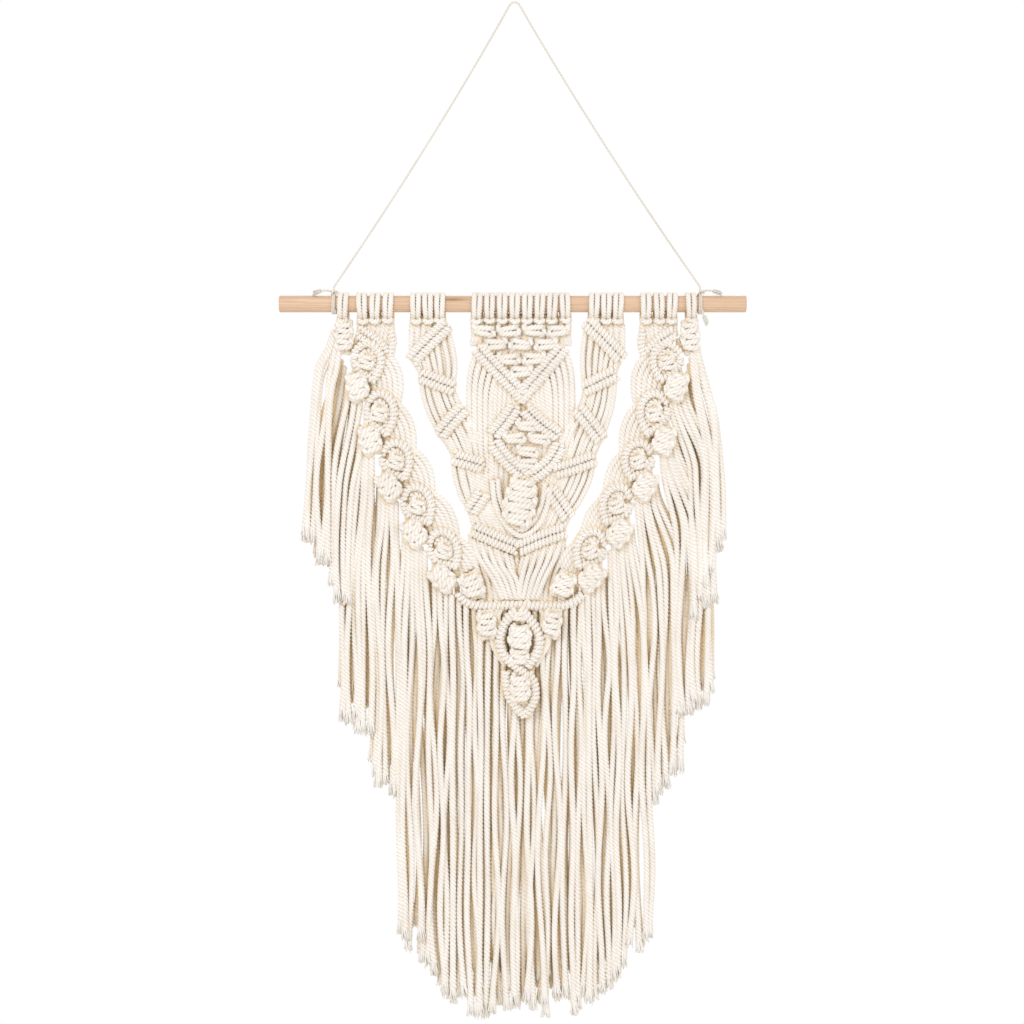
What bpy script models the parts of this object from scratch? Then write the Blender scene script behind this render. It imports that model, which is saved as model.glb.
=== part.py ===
"""Knotted cotton wall hanging: a wooden dowel on a hanging cord, with a panel of knotted cords and a fringe.

The origin is where the hanging cord rests on its nail. X runs along the dowel, the front faces -Y, Z is up.
Knotted areas are plain closed solids of the size of the real work. Places on the work are given as
(out, drop): the distance out from the work's middle, and the distance below the dowel's axis.
"""

import math

import bpy
from mathutils import Vector

# Dowel and hanging cord
DOWEL_LENGTH = 0.350
DOWEL_RADIUS = 0.00625
DOWEL_END_ROUND = 0.0006
DOWEL_SIDES = 32
HANG_HEIGHT = 0.2263  # nail to the dowel's axis
DOWEL_SHIFT = -0.0014  # dowel's middle, sideways from the nail
TWINE_DIAMETER = 0.0016
TWINE_APEX_ROUND = 0.0057  # sets how wide the bend over the nail is
TWINE_POINTS_A_SIDE = 30
TIE_WIDTH = 0.0030
TIE_KNOT_RADIUS = 0.0022
TIE_CLEARANCE = 0.0005  # knot to the outermost lark's head

# Cords of the work
CORD_DIAMETER = 0.0042
WORK_SHIFT = 0.0018  # work's middle, sideways from the nail
CENTRE_SHIFT = 0.0030  # centre panel's middle, sideways from the work's middle
FIT_GAP = 0.0003

# Lark's heads on the dowel
HEAD_WIDTH = 2 * CORD_DIAMETER + 0.0002
HEAD_SEGMENTS = 12
HEAD_GROOVE = CORD_DIAMETER * 2 / 7
HEAD_EDGE = CORD_DIAMETER * 2 / 7  # rounds the wraps as the cord is round
BAR_SINK = 0.0006  # how far the front bar sinks into its two wraps
OUTER_HEAD_OUT = 0.1303
WING_HEADS_OUT = 0.1063
WING_HEAD_PITCH = HEAD_WIDTH + 0.0012
BAND_HEADS_OUT = 0.0668
BAND_HEAD_PITCH = HEAD_WIDTH + 0.0004
CENTRE_HEADS = 8
CENTRE_HEAD_PITCH = HEAD_WIDTH + 0.0008
TIE_OUT = OUTER_HEAD_OUT + HEAD_WIDTH / 2 + TIE_CLEARANCE + TIE_KNOT_RADIUS

# Thickness of the knotted work and the fringe
PANEL_THICKNESS = 0.0070
ROW_THICKNESS = 0.0090
FRINGE_THICKNESS = 0.0050
FRINGE_TOP_SLOPE = math.radians(70)
MEDALLION_THICKNESS = 0.0040

# Fringe columns: the fringe's outer edge and each column's inner one, out from the work's middle
FRINGE_OUTER_EDGE = 0.1610
OUTER_COLUMN_EDGE = 0.1290
MIDDLE_COLUMN_EDGE = 0.1088
INNER_COLUMN_EDGE = 0.0880
SIDE_COLUMN_EDGE = 0.0466
# where each column swings from, below the dowel's axis
OUTER_SWING_DROP = 0.0757
MIDDLE_SWING_DROP = 0.1185
INNER_SWING_DROP = 0.1560
SKIRT_SWING_DROP = 0.2325
# where each column ends, below the dowel's axis
OUTER_END_DROP = 0.222
MIDDLE_END_DROP = 0.308
INNER_END_DROP = 0.362
SIDE_END_DROP = 0.498
CENTRE_END_DROP = 0.527

# Bobbles down the outer edge of each wing
BOBBLE_SIZE = (0.0093, 0.0055, 0.0120)  # half sizes
BOBBLE_PLACES = ((0.1193, 0.0623), (0.1095, 0.1028), (0.0953, 0.1373), (0.0765, 0.1718), (0.0555, 0.2055))
BERRY_SIZE = (0.0090, 0.0040, 0.0085)

# Centre block: square knots down to a vee, hitched rows, strands each side and a diamond
CENTRE_SIDE_DROP = 0.0310
CENTRE_APEX_DROP = 0.0672
VEE_DEPTH = 0.0105
STRANDS_SIDE_DROP = 0.0780
DIAMOND_HALF_WIDTH = 0.0255
DIAMOND_UPPER = 0.0208
DIAMOND_LOWER = 0.0315

# Fan of strands, and the collar under it
FAN_HALF_WIDTH = 0.0290
FAN_TOP_DROP = 0.1800
COLLAR_MIDDLE_RISE = 0.0100  # collar's top above the skirt's swing axis, at the middle and at its ends
COLLAR_END_RISE = 0.0165

# Medallion and pendant, below the skirt's swing axis
MEDALLION_TOP = 0.0065
MEDALLION_MIDDLE = 0.0230
MEDALLION_BOTTOM = 0.0420
MEDALLION_HALF_WIDTH = 0.0155
PENDANT_MIDDLE = 0.0570
PENDANT_BOTTOM = 0.0780
PENDANT_HALF_WIDTH = 0.0105

WOOD = (0.80, 0.58, 0.38, 1)
COTTON = (0.86, 0.82, 0.74, 1)
TWINE = (0.72, 0.64, 0.52, 1)


def clear_scene():
    for old in list(bpy.data.objects):
        bpy.data.objects.remove(old, do_unlink=True)


def new_collection(name):
    group = bpy.data.collections.new(name)
    bpy.context.scene.collection.children.link(group)
    return group


def new_material(name, colour, roughness):
    material = bpy.data.materials.new(name)
    material.use_nodes = True
    shader = material.node_tree.nodes["Principled BSDF"]
    shader.inputs["Base Color"].default_value = colour
    shader.inputs["Roughness"].default_value = roughness
    shader.inputs["Metallic"].default_value = 0
    return material


def add_object(name, data, material, parent, place=(0, 0, 0), turn=(0, 0, 0)):
    thing = bpy.data.objects.new(name, data)
    thing.location = place
    thing.rotation_euler = turn
    thing.parent = parent
    if material.name not in data.materials:
        data.materials.append(material)
    hanging.objects.link(thing)
    return thing


def add_pivot(name, drop, parent):
    """An empty on a swing axis, under the dowel's axis; its children are placed from that axis."""
    pivot = bpy.data.objects.new(name, None)
    pivot.parent = parent
    above = 0 if parent is None else parent["drop"]
    pivot["drop"] = drop
    pivot.location = (0, 0, above - drop) if parent else (WORK_SHIFT, 0, -HANG_HEIGHT - drop)
    hanging.objects.link(pivot)
    return pivot


def closed_profile(points):
    """A closed outline of (radius, height) points, for a Screw modifier to turn."""
    mesh = bpy.data.meshes.new("profile")
    edges = [(i, (i + 1) % len(points)) for i in range(len(points))]
    mesh.from_pydata([(r, 0, h) for r, h in points], edges, [])
    return mesh


def turn_round(thing, segments):
    screw = thing.modifiers.new("turn", "SCREW")
    screw.steps = segments
    screw.render_steps = segments
    screw.use_merge_vertices = True
    screw.merge_threshold = 0.00001
    screw.use_smooth_shade = False
    screw.use_normal_calculate = True


def join_shape(thing, data, place):
    """Unions a guide shape, placed in the thing's own space, into the thing."""
    guide = bpy.data.objects.new(thing.name + "_guide", data)
    guide.parent = thing
    guide.location = place
    guide.hide_render = True
    guide.display_type = "WIRE"
    guides.objects.link(guide)
    union = thing.modifiers.new("join", "BOOLEAN")
    union.operation = "UNION"
    union.solver = "EXACT"
    union.object = guide


def primitive_mesh(add, **size):
    """The mesh of a primitive, without the object that the operator makes."""
    add(**size)
    made = bpy.context.active_object
    data = made.data
    bpy.data.objects.remove(made, do_unlink=True)
    return data


def flat_shape(name, outline, thickness, y, parent):
    """A closed outline of (x, z) points, as a plate facing the front."""
    curve = bpy.data.curves.new(name, "CURVE")
    curve.dimensions = "2D"
    curve.fill_mode = "BOTH"
    curve.extrude = thickness / 2
    spline = curve.splines.new("POLY")
    spline.points.add(len(outline) - 1)
    for point, (x, z) in zip(spline.points, outline):
        point.co = (x, z, 0, 1)
    spline.use_cyclic_u = True
    add_object(name, curve, cotton, parent, (0, y, 0), (math.pi / 2, 0, 0))


def shrink(outline, gap):
    """Moves every side of a closed outline inwards by gap, keeping the corners sharp."""
    points = [Vector(p) for p in outline]
    area = sum(a.x * b.y - b.x * a.y for a, b in zip(points, points[1:] + points[:1]))
    side = 1 if area > 0 else -1
    moved = []
    for i, here in enumerate(points):
        before = (here - points[i - 1]).normalized()
        after = (points[(i + 1) % len(points)] - here).normalized()
        inward_before = side * Vector((-before.y, before.x))
        inward_after = side * Vector((-after.y, after.x))
        middle = (inward_before + inward_after).normalized()
        moved.append(here + middle * gap / middle.dot(inward_before))
    return moved


def knotted(name, outline, pivot, sign=1, shift=0.0, thickness=PANEL_THICKNESS):
    """A knotted area: an outline of (out, drop) points on one side of the work, shrunk by half a gap."""
    places = [(sign * out + shift, pivot["drop"] - drop) for out, drop in outline]
    flat_shape(name, shrink(places, FIT_GAP / 2), thickness, 0, pivot)


def rounded_lump(name, size, place, pivot):
    ball = primitive_mesh(bpy.ops.mesh.primitive_uv_sphere_add, segments=12, ring_count=8, radius=1)
    for vertex in ball.vertices:
        vertex.co = [v * s for v, s in zip(vertex.co, size)]
    add_object(name, ball, cotton, pivot, place)


def make_dowel():
    rod = primitive_mesh(
        bpy.ops.mesh.primitive_cylinder_add, vertices=DOWEL_SIDES, radius=DOWEL_RADIUS, depth=DOWEL_LENGTH
    )
    dowel = add_object("dowel", rod, wood, None, (DOWEL_SHIFT, 0, -HANG_HEIGHT), (0, math.pi / 2, 0))
    bevel = dowel.modifiers.new("round_ends", "BEVEL")
    bevel.width = DOWEL_END_ROUND
    bevel.segments = 2
    bevel.limit_method = "ANGLE"
    bevel.angle_limit = math.radians(60)


def wrap_inner_radius(segments):
    """Corner radius of a many-sided ring whose flats clear the dowel by the gap."""
    return (DOWEL_RADIUS + FIT_GAP) / math.cos(math.pi / segments)


def make_tie(name, sign):
    """The twine wound and knotted round the dowel."""
    inner = wrap_inner_radius(HEAD_SEGMENTS)
    outer = inner + TWINE_DIAMETER
    half = TIE_WIDTH / 2
    ring = closed_profile([(inner, half), (outer, half), (outer, -half), (inner, -half)])
    place = (WORK_SHIFT + sign * TIE_OUT, 0, -HANG_HEIGHT)
    tie = add_object(name, ring, twine, None, place, (0, math.pi / 2, 0))
    turn_round(tie, HEAD_SEGMENTS)
    knot = primitive_mesh(
        bpy.ops.mesh.primitive_uv_sphere_add, segments=10, ring_count=6, radius=TIE_KNOT_RADIUS
    )
    join_shape(tie, knot, (-(outer + TIE_KNOT_RADIUS / 2), 0, 0))


def tie_knot_top():
    """Height of the knot's far side above the dowel's axis."""
    return wrap_inner_radius(HEAD_SEGMENTS) + TWINE_DIAMETER + 1.5 * TIE_KNOT_RADIUS


def hanging_cord_route():
    """A tight vee from tie to tie, rounded where it passes over the nail at the origin."""
    ends_z = -HANG_HEIGHT + tie_knot_top() + FIT_GAP + TWINE_DIAMETER / 2
    route = []
    for sign in (-1, 1):
        end_x = WORK_SHIFT + sign * TIE_OUT
        flat = math.hypot(end_x, TWINE_APEX_ROUND) - TWINE_APEX_ROUND
        side = []
        for i in range(1, TWINE_POINTS_A_SIDE + 1):
            x = end_x * (i / TWINE_POINTS_A_SIDE) ** 1.6
            z = ends_z * (math.hypot(x, TWINE_APEX_ROUND) - TWINE_APEX_ROUND) / flat
            side.append((x, 0, z))
        route = side[::-1] + [(0, 0, 0)] if sign < 0 else route + side
    return route


def make_hanging_cord():
    route = hanging_cord_route()
    curve = bpy.data.curves.new("hanging_cord", "CURVE")
    curve.dimensions = "3D"
    curve.bevel_depth = TWINE_DIAMETER / 2
    curve.bevel_resolution = 2
    curve.use_fill_caps = True
    spline = curve.splines.new("POLY")
    spline.points.add(len(route) - 1)
    for point, place in zip(spline.points, route):
        point.co = (*place, 1)
    add_object("hanging_cord", curve, twine, None)


def head_places():
    """How far out each lark's head sits from the work's middle, left to right."""
    side = [OUTER_HEAD_OUT]
    side += [WING_HEADS_OUT + k * WING_HEAD_PITCH for k in (1, 0, -1)]
    side += [BAND_HEADS_OUT + k * BAND_HEAD_PITCH for k in (1, 0, -1)]
    middle = (CENTRE_HEADS - 1) / 2
    centre = [CENTRE_SHIFT + (k - middle) * CENTRE_HEAD_PITCH for k in range(CENTRE_HEADS)]
    return [-out for out in side] + centre + side[::-1]


def make_larks_heads(pivot):
    """Each doubled cord's two wraps round the dowel, with the bar across the front under it."""
    inner = wrap_inner_radius(HEAD_SEGMENTS)
    outer = inner + CORD_DIAMETER
    half = HEAD_WIDTH / 2
    wraps = [
        (inner, half),
        (outer - HEAD_EDGE, half),
        (outer, half - HEAD_EDGE),
        (outer, HEAD_EDGE),
        (outer - HEAD_GROOVE, 0),
        (outer, -HEAD_EDGE),
        (outer, HEAD_EDGE - half),
        (outer - HEAD_EDGE, -half),
        (inner, -half),
    ]
    bar_length = HEAD_WIDTH - HEAD_EDGE
    bar_drop = head_bar_bottom() - CORD_DIAMETER / 2
    for number, out in enumerate(head_places(), 1):
        head = add_object(f"larks_head_{number:02d}", closed_profile(wraps), cotton, pivot)
        head.location = (out, 0, pivot["drop"])
        head.rotation_euler = (0, math.pi / 2, 0)
        turn_round(head, HEAD_SEGMENTS)
        bar = primitive_mesh(
            bpy.ops.mesh.primitive_cylinder_add, vertices=8, radius=CORD_DIAMETER / 2, depth=bar_length
        )
        join_shape(head, bar, (bar_drop, 0, 0))


def head_bar_bottom():
    """Drop of the bars' lower side, where the knotted work starts."""
    return wrap_inner_radius(HEAD_SEGMENTS) + CORD_DIAMETER - BAR_SINK + CORD_DIAMETER


def centre_edge():
    """Half the centre block's width."""
    return CENTRE_HEADS * CENTRE_HEAD_PITCH / 2


def diamond_drops():
    """Drop of the diamond's top, middle and bottom corners."""
    top = CENTRE_APEX_DROP + VEE_DEPTH
    return top, top + DIAMOND_UPPER, top + DIAMOND_UPPER + DIAMOND_LOWER


def make_centre(pivot):
    """Centre panel of square knots, the vee of hitched rows under it, its diamond and its loose strands."""
    top = head_bar_bottom() + FIT_GAP
    edge = centre_edge()
    under, middle, bottom = diamond_drops()
    panel = [(-edge, top), (edge, top), (edge, CENTRE_SIDE_DROP)]
    panel += [(0, CENTRE_APEX_DROP), (-edge, CENTRE_SIDE_DROP)]
    knotted("centre_panel", panel, pivot, 1, CENTRE_SHIFT)
    vee = [(-edge, CENTRE_SIDE_DROP), (0, CENTRE_APEX_DROP), (edge, CENTRE_SIDE_DROP)]
    vee += [(edge, CENTRE_SIDE_DROP + VEE_DEPTH), (0, under), (-edge, CENTRE_SIDE_DROP + VEE_DEPTH)]
    knotted("centre_vee_rows", vee, pivot, 1, CENTRE_SHIFT, ROW_THICKNESS)
    diamond = [(0, under), (DIAMOND_HALF_WIDTH, middle), (0, bottom), (-DIAMOND_HALF_WIDTH, middle)]
    knotted("centre_diamond", diamond, pivot, 1, CENTRE_SHIFT)
    strands = [(0, under), (edge, CENTRE_SIDE_DROP + VEE_DEPTH)]
    strands += [(edge, STRANDS_SIDE_DROP), (DIAMOND_HALF_WIDTH, middle)]
    for side, sign in (("left", -1), ("right", 1)):
        knotted(f"centre_strands_{side}", strands, pivot, sign, CENTRE_SHIFT, FRINGE_THICKNESS)


def make_band(side, sign, pivot):
    """One inner band of zigzag rows, which joins the other band under the diamond."""
    top = head_bar_bottom() + FIT_GAP
    shift = sign * CENTRE_SHIFT  # the centre block sits sideways from the work's middle
    edge = centre_edge() + shift
    middle, bottom = diamond_drops()[1:]
    half = 1.5 * BAND_HEAD_PITCH
    band = [(BAND_HEADS_OUT - half, top), (BAND_HEADS_OUT - half - 0.0020, CENTRE_SIDE_DROP)]
    band += [(edge + 0.0080, 0.0550), (edge, STRANDS_SIDE_DROP), (DIAMOND_HALF_WIDTH + shift, middle)]
    band += [(shift, bottom), (shift, FAN_TOP_DROP), (FAN_HALF_WIDTH, FAN_TOP_DROP)]
    # the outer edge runs beside the wing
    band += [(0.0385, 0.1510), (0.0430, 0.1410), (0.0525, 0.1193), (0.0592, 0.1100), (0.0640, 0.0950)]
    band += [(0.0690, 0.0735), (0.0725, 0.0540)]
    band += [(BAND_HEADS_OUT + half, 0.0300), (BAND_HEADS_OUT + half, top)]
    knotted(f"inner_band_{side}", band, pivot, sign)


def make_wing(side, sign, pivot):
    """One wing, from its lark's heads to the collar, with a ledge over each fringe column and its bobbles."""
    top = head_bar_bottom() + FIT_GAP
    outer = OUTER_HEAD_OUT + HEAD_WIDTH / 2
    wing = [(outer, top), (outer + 0.0020, 0.0300), (0.1500, 0.0500)]
    wing += [(FRINGE_OUTER_EDGE, OUTER_SWING_DROP), (OUTER_COLUMN_EDGE, OUTER_SWING_DROP)]
    wing += [(OUTER_COLUMN_EDGE, MIDDLE_SWING_DROP), (MIDDLE_COLUMN_EDGE, MIDDLE_SWING_DROP)]
    wing += [(MIDDLE_COLUMN_EDGE, INNER_SWING_DROP), (INNER_COLUMN_EDGE, INNER_SWING_DROP)]
    wing += [(INNER_COLUMN_EDGE, SKIRT_SWING_DROP), (SIDE_COLUMN_EDGE, SKIRT_SWING_DROP)]
    wing += [(SIDE_COLUMN_EDGE, SKIRT_SWING_DROP - COLLAR_END_RISE)]
    wing += [(FAN_HALF_WIDTH, SKIRT_SWING_DROP - COLLAR_MIDDLE_RISE), (FAN_HALF_WIDTH, FAN_TOP_DROP + 0.0008)]
    # the inner edge runs up beside the band
    wing += [(0.0435, 0.1635), (0.0563, 0.1470), (0.0683, 0.1170), (0.0803, 0.0870), (0.0878, 0.0608)]
    wing += [(0.0930, 0.0390), (WING_HEADS_OUT - 1.5 * WING_HEAD_PITCH, top)]
    knotted(f"wing_{side}", wing, pivot, sign)
    y = -(PANEL_THICKNESS / 2 + FIT_GAP + BOBBLE_SIZE[1])
    for number, (out, drop) in enumerate(BOBBLE_PLACES, 1):
        rounded_lump(f"bobble_{side}_{number}", BOBBLE_SIZE, (sign * out, y, pivot["drop"] - drop), pivot)


def make_lower_vee(pivot):
    """The fan of strands under the bands, and the hitched collar that gathers them."""
    middle = SKIRT_SWING_DROP - COLLAR_MIDDLE_RISE
    end = SKIRT_SWING_DROP - COLLAR_END_RISE
    fan = [(-FAN_HALF_WIDTH, FAN_TOP_DROP), (FAN_HALF_WIDTH, FAN_TOP_DROP)]
    fan += [(FAN_HALF_WIDTH, middle), (-FAN_HALF_WIDTH, middle)]
    knotted("lower_vee", fan, pivot)
    collar = [(-SIDE_COLUMN_EDGE, end), (-FAN_HALF_WIDTH, middle), (FAN_HALF_WIDTH, middle)]
    collar += [(SIDE_COLUMN_EDGE, end), (SIDE_COLUMN_EDGE, SKIRT_SWING_DROP)]
    collar += [(-SIDE_COLUMN_EDGE, SKIRT_SWING_DROP)]
    knotted("collar_row", collar, pivot, 1, 0, ROW_THICKNESS)


def fringe(name, low, high, end_drop, pivot, sign=1):
    """A column of hanging strands, as a plate whose top is a ridge on its swing axis."""
    half = FRINGE_THICKNESS / 2
    shoulder = -FIT_GAP - half * math.tan(FRINGE_TOP_SLOPE)
    bottom = pivot["drop"] - end_drop
    profile = bpy.data.curves.new(name, "CURVE")
    profile.dimensions = "2D"
    profile.fill_mode = "BOTH"
    profile.extrude = (high - low - FIT_GAP) / 2
    outline = [(0, -FIT_GAP), (-half, shoulder), (-half, bottom), (half, bottom), (half, shoulder)]
    spline = profile.splines.new("POLY")
    spline.points.add(len(outline) - 1)
    for point, (y, z) in zip(spline.points, outline):
        point.co = (y, z, 0, 1)
    spline.use_cyclic_u = True
    place = (sign * (low + high) / 2, 0, 0)
    add_object(name, profile, cotton, pivot, place, (math.pi / 2, 0, math.pi / 2))


def make_side_fringes(side, sign, panel):
    columns = (
        ("outer", OUTER_COLUMN_EDGE, FRINGE_OUTER_EDGE, OUTER_SWING_DROP, OUTER_END_DROP),
        ("middle", MIDDLE_COLUMN_EDGE, OUTER_COLUMN_EDGE, MIDDLE_SWING_DROP, MIDDLE_END_DROP),
        ("inner", INNER_COLUMN_EDGE, MIDDLE_COLUMN_EDGE, INNER_SWING_DROP, INNER_END_DROP),
    )
    for column, low, high, swing_drop, end_drop in columns:
        name = f"fringe_{side}_{column}"
        pivot = add_pivot(name + "_pivot", swing_drop, panel)
        fringe(name, low, high, end_drop, pivot, sign)


def make_skirt(panel):
    """Everything under the collar: the long fringe, with the medallion and its pendant in front."""
    pivot = add_pivot("skirt_pivot", SKIRT_SWING_DROP, panel)
    fringe("fringe_skirt_centre", -SIDE_COLUMN_EDGE, SIDE_COLUMN_EDGE, CENTRE_END_DROP, pivot)
    for side, sign in (("left", -1), ("right", 1)):
        fringe(f"fringe_skirt_{side}", SIDE_COLUMN_EDGE, INNER_COLUMN_EDGE, SIDE_END_DROP, pivot, sign)
    front = FRINGE_THICKNESS / 2 + FIT_GAP
    y = -(front + MEDALLION_THICKNESS / 2)
    shift = CENTRE_SHIFT / 2
    shapes = (
        ("medallion", MEDALLION_HALF_WIDTH, MEDALLION_TOP, MEDALLION_MIDDLE, MEDALLION_BOTTOM),
        ("medallion_pendant", PENDANT_HALF_WIDTH, MEDALLION_BOTTOM, PENDANT_MIDDLE, PENDANT_BOTTOM),
    )
    for name, half_width, top, middle, bottom in shapes:
        outline = [(shift, -top), (shift + half_width, -middle)]
        outline += [(shift, -bottom), (shift - half_width, -middle)]
        flat_shape(name, shrink(outline, FIT_GAP / 2), MEDALLION_THICKNESS, y, pivot)
    berry_y = -(front + MEDALLION_THICKNESS + FIT_GAP + BERRY_SIZE[1])
    rounded_lump("medallion_berry", BERRY_SIZE, (shift, berry_y, -MEDALLION_MIDDLE), pivot)


clear_scene()
hanging = new_collection("wall_hanging")
guides = new_collection("guides")
wood = new_material("wood", WOOD, 0.55)
cotton = new_material("cotton", COTTON, 0.9)
twine = new_material("twine", TWINE, 0.85)

make_dowel()
make_tie("hanging_tie_left", -1)
make_tie("hanging_tie_right", 1)
make_hanging_cord()
panel_pivot = add_pivot("panel_pivot", 0, None)
make_larks_heads(panel_pivot)
make_centre(panel_pivot)
for side_name, side_sign in (("left", -1), ("right", 1)):
    make_band(side_name, side_sign, panel_pivot)
    make_wing(side_name, side_sign, panel_pivot)
    make_side_fringes(side_name, side_sign, panel_pivot)
make_lower_vee(panel_pivot)
make_skirt(panel_pivot)
bpy.context.view_layer.update()
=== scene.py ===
import math
import random

import bpy
import numpy as np
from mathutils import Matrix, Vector


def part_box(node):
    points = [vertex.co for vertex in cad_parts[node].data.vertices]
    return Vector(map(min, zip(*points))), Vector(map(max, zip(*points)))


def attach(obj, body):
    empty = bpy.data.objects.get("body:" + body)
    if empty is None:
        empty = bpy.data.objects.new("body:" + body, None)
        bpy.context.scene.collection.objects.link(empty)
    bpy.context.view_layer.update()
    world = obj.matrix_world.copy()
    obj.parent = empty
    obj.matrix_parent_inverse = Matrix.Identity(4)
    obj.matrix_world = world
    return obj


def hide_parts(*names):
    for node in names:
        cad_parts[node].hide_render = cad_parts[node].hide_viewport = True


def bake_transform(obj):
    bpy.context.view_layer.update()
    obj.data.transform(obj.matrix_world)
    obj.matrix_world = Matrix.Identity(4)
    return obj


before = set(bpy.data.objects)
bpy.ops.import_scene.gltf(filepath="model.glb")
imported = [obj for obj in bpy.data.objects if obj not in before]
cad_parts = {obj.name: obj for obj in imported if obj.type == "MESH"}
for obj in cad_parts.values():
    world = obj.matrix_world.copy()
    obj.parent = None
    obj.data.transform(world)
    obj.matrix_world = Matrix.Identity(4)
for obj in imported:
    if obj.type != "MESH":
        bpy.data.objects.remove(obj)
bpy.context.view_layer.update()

mm = 0.001
left, right = -1, 1


def middleOf(node):
    low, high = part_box(node)
    return [(a + b) / 2 for a, b in zip(low, high)]


dowelMiddle = middleOf("dowel")
workMiddle = (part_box("larks_head_01")[0][0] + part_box("larks_head_22")[1][0]) / 2
centreMiddle = middleOf("centre_panel")[0]


# Places on the work are (out, drop, front) in mm: out from its middle, below the dowel's axis, to the viewer
def onWork(points, side=left, middle=None):
    middle = workMiddle if middle is None else middle
    places = []
    for point in points:
        out, drop, front = point if len(point) == 3 else (*point, 0)
        places.append((middle + side * out * mm, -front * mm, dowelMiddle[2] - drop * mm))
    return np.array(places)


# ---- camera, light and floor
view = {
    "distance": 1.813,
    "lens": 85,
    "sensor": 36,
    "clipEnd": 20,
    "aim": (-0.00195, 0, -0.3823),
    "floorRadius": 0.95,
    "floorDrop": 1.0,
    "floorColour": (0.9, 0.89, 0.88, 1),
    "skyLight": 0.83,
    "skyColour": (1, 0.985, 0.965, 1),
}
# Each light's place, power and size
lights = {
    "keyLight": ((-0.9, -1.8, 0.5), 14, 0.9),
    "fillLight": ((1.5, -1.6, -0.2), 7.5, 1.4),
    "backLight": ((0.3, 1.8, 0.5), 22, 1.6),
}


def addNode(nodes, kind, values=None, **settings):
    node = nodes.new(f"ShaderNode{kind}")
    for name, setting in settings.items():
        setattr(node, name, setting)
    for name, value in (values or {}).items():
        node.inputs[name].default_value = value
    return node


def makeCamera():
    cameraData = bpy.data.cameras.new("camera")
    cameraData.lens = view["lens"]
    cameraData.sensor_width = view["sensor"]
    cameraData.clip_end = view["clipEnd"]
    camera = bpy.data.objects.new("camera", cameraData)
    camera.location = (view["aim"][0], -view["distance"], view["aim"][2])
    camera.rotation_euler = (math.pi / 2, 0, 0)
    bpy.context.scene.collection.objects.link(camera)
    bpy.context.scene.camera = camera


def makeAreaLight(name, place, power, size):
    lightData = bpy.data.lights.new(name, "AREA")
    lightData.energy = power
    lightData.size = size
    light = bpy.data.objects.new(name, lightData)
    light.location = place
    towards = Vector(view["aim"]) - Vector(place)
    light.rotation_euler = towards.to_track_quat("-Z", "Y").to_euler()
    bpy.context.scene.collection.objects.link(light)


def makeSky():
    world = bpy.data.worlds.new("studioSky")
    world.use_nodes = True
    nodes, links = world.node_tree.nodes, world.node_tree.links
    nodes.clear()
    output = addNode(nodes, "OutputWorld")
    seen = addNode(nodes, "Background", {"Strength": 1.0, "Color": (1, 1, 1, 1)})
    lighting = addNode(nodes, "Background", {"Strength": view["skyLight"], "Color": view["skyColour"]})
    path = addNode(nodes, "LightPath")
    mix = addNode(nodes, "MixShader")
    links.new(path.outputs["Is Camera Ray"], mix.inputs[0])
    links.new(lighting.outputs[0], mix.inputs[1])
    links.new(seen.outputs[0], mix.inputs[2])
    links.new(mix.outputs[0], output.inputs["Surface"])
    bpy.context.scene.world = world
    bpy.context.scene.view_settings.view_transform = "Standard"


def makeFloor():
    bpy.ops.object.select_all(action="DESELECT")
    bpy.ops.mesh.primitive_circle_add(
        vertices=96, radius=view["floorRadius"], fill_type="NGON", location=(0, 0, -view["floorDrop"])
    )
    floor = bpy.context.object
    floor.name = "floor"
    material = bpy.data.materials.new("paleFloor")
    material.use_nodes = True
    shader = material.node_tree.nodes["Principled BSDF"]
    shader.inputs["Base Color"].default_value = view["floorColour"]
    shader.inputs["Roughness"].default_value = 0.8
    floor.data.materials.append(material)


makeCamera()
makeSky()
makeFloor()
for lightName, (lightPlace, lightPower, lightSize) in lights.items():
    makeAreaLight(lightName, lightPlace, lightPower, lightSize)
print("stage: camera, light and floor")


# ---- materials
fibreLook = {
    "grooveEdge": 4.2,  # how sharply a ply rises from the groove beside it
    "yarnsAround": 5.0,
    "yarnsAlong": 2.2,
    "yarnSlant": 0.35,
    "yarnScale": 1.6,
    "fuzzScale": 1300,
    "fuzzShare": 0.7,
    "alongTone": 0.16,
    "alongShare": 0.6,
    "patchScale": 42,
}
cottonLook = {
    "cream": (0.930, 0.904, 0.868),
    "warm": (0.882, 0.838, 0.782),
    "tone": (0.62, 1.02),
    # painted shade in the hollows between fibres: its colour, and the fibre heights over which it is mixed in
    "shadow": (0.76, 0.66, 0.57),
    "fibreHollowShade": (0.36, 0.24, 0.75),
    # painted shade in the grooves between plies: its colour and how much of it
    "groove": (0.70, 0.55, 0.41),
    "grooveShadeShare": 0.5,
    # painted shade: the warm brown put on cords deep behind others and between cords
    "paintedShade": (0.93, 0.69, 0.35),
    "plies": 3.0,
    "fibre": 0.45,
    "bump": 0.5,
    "bumpDepth": 0.0008,
    "roughness": 0.88,
    "sheen": 0.35,
}
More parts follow.
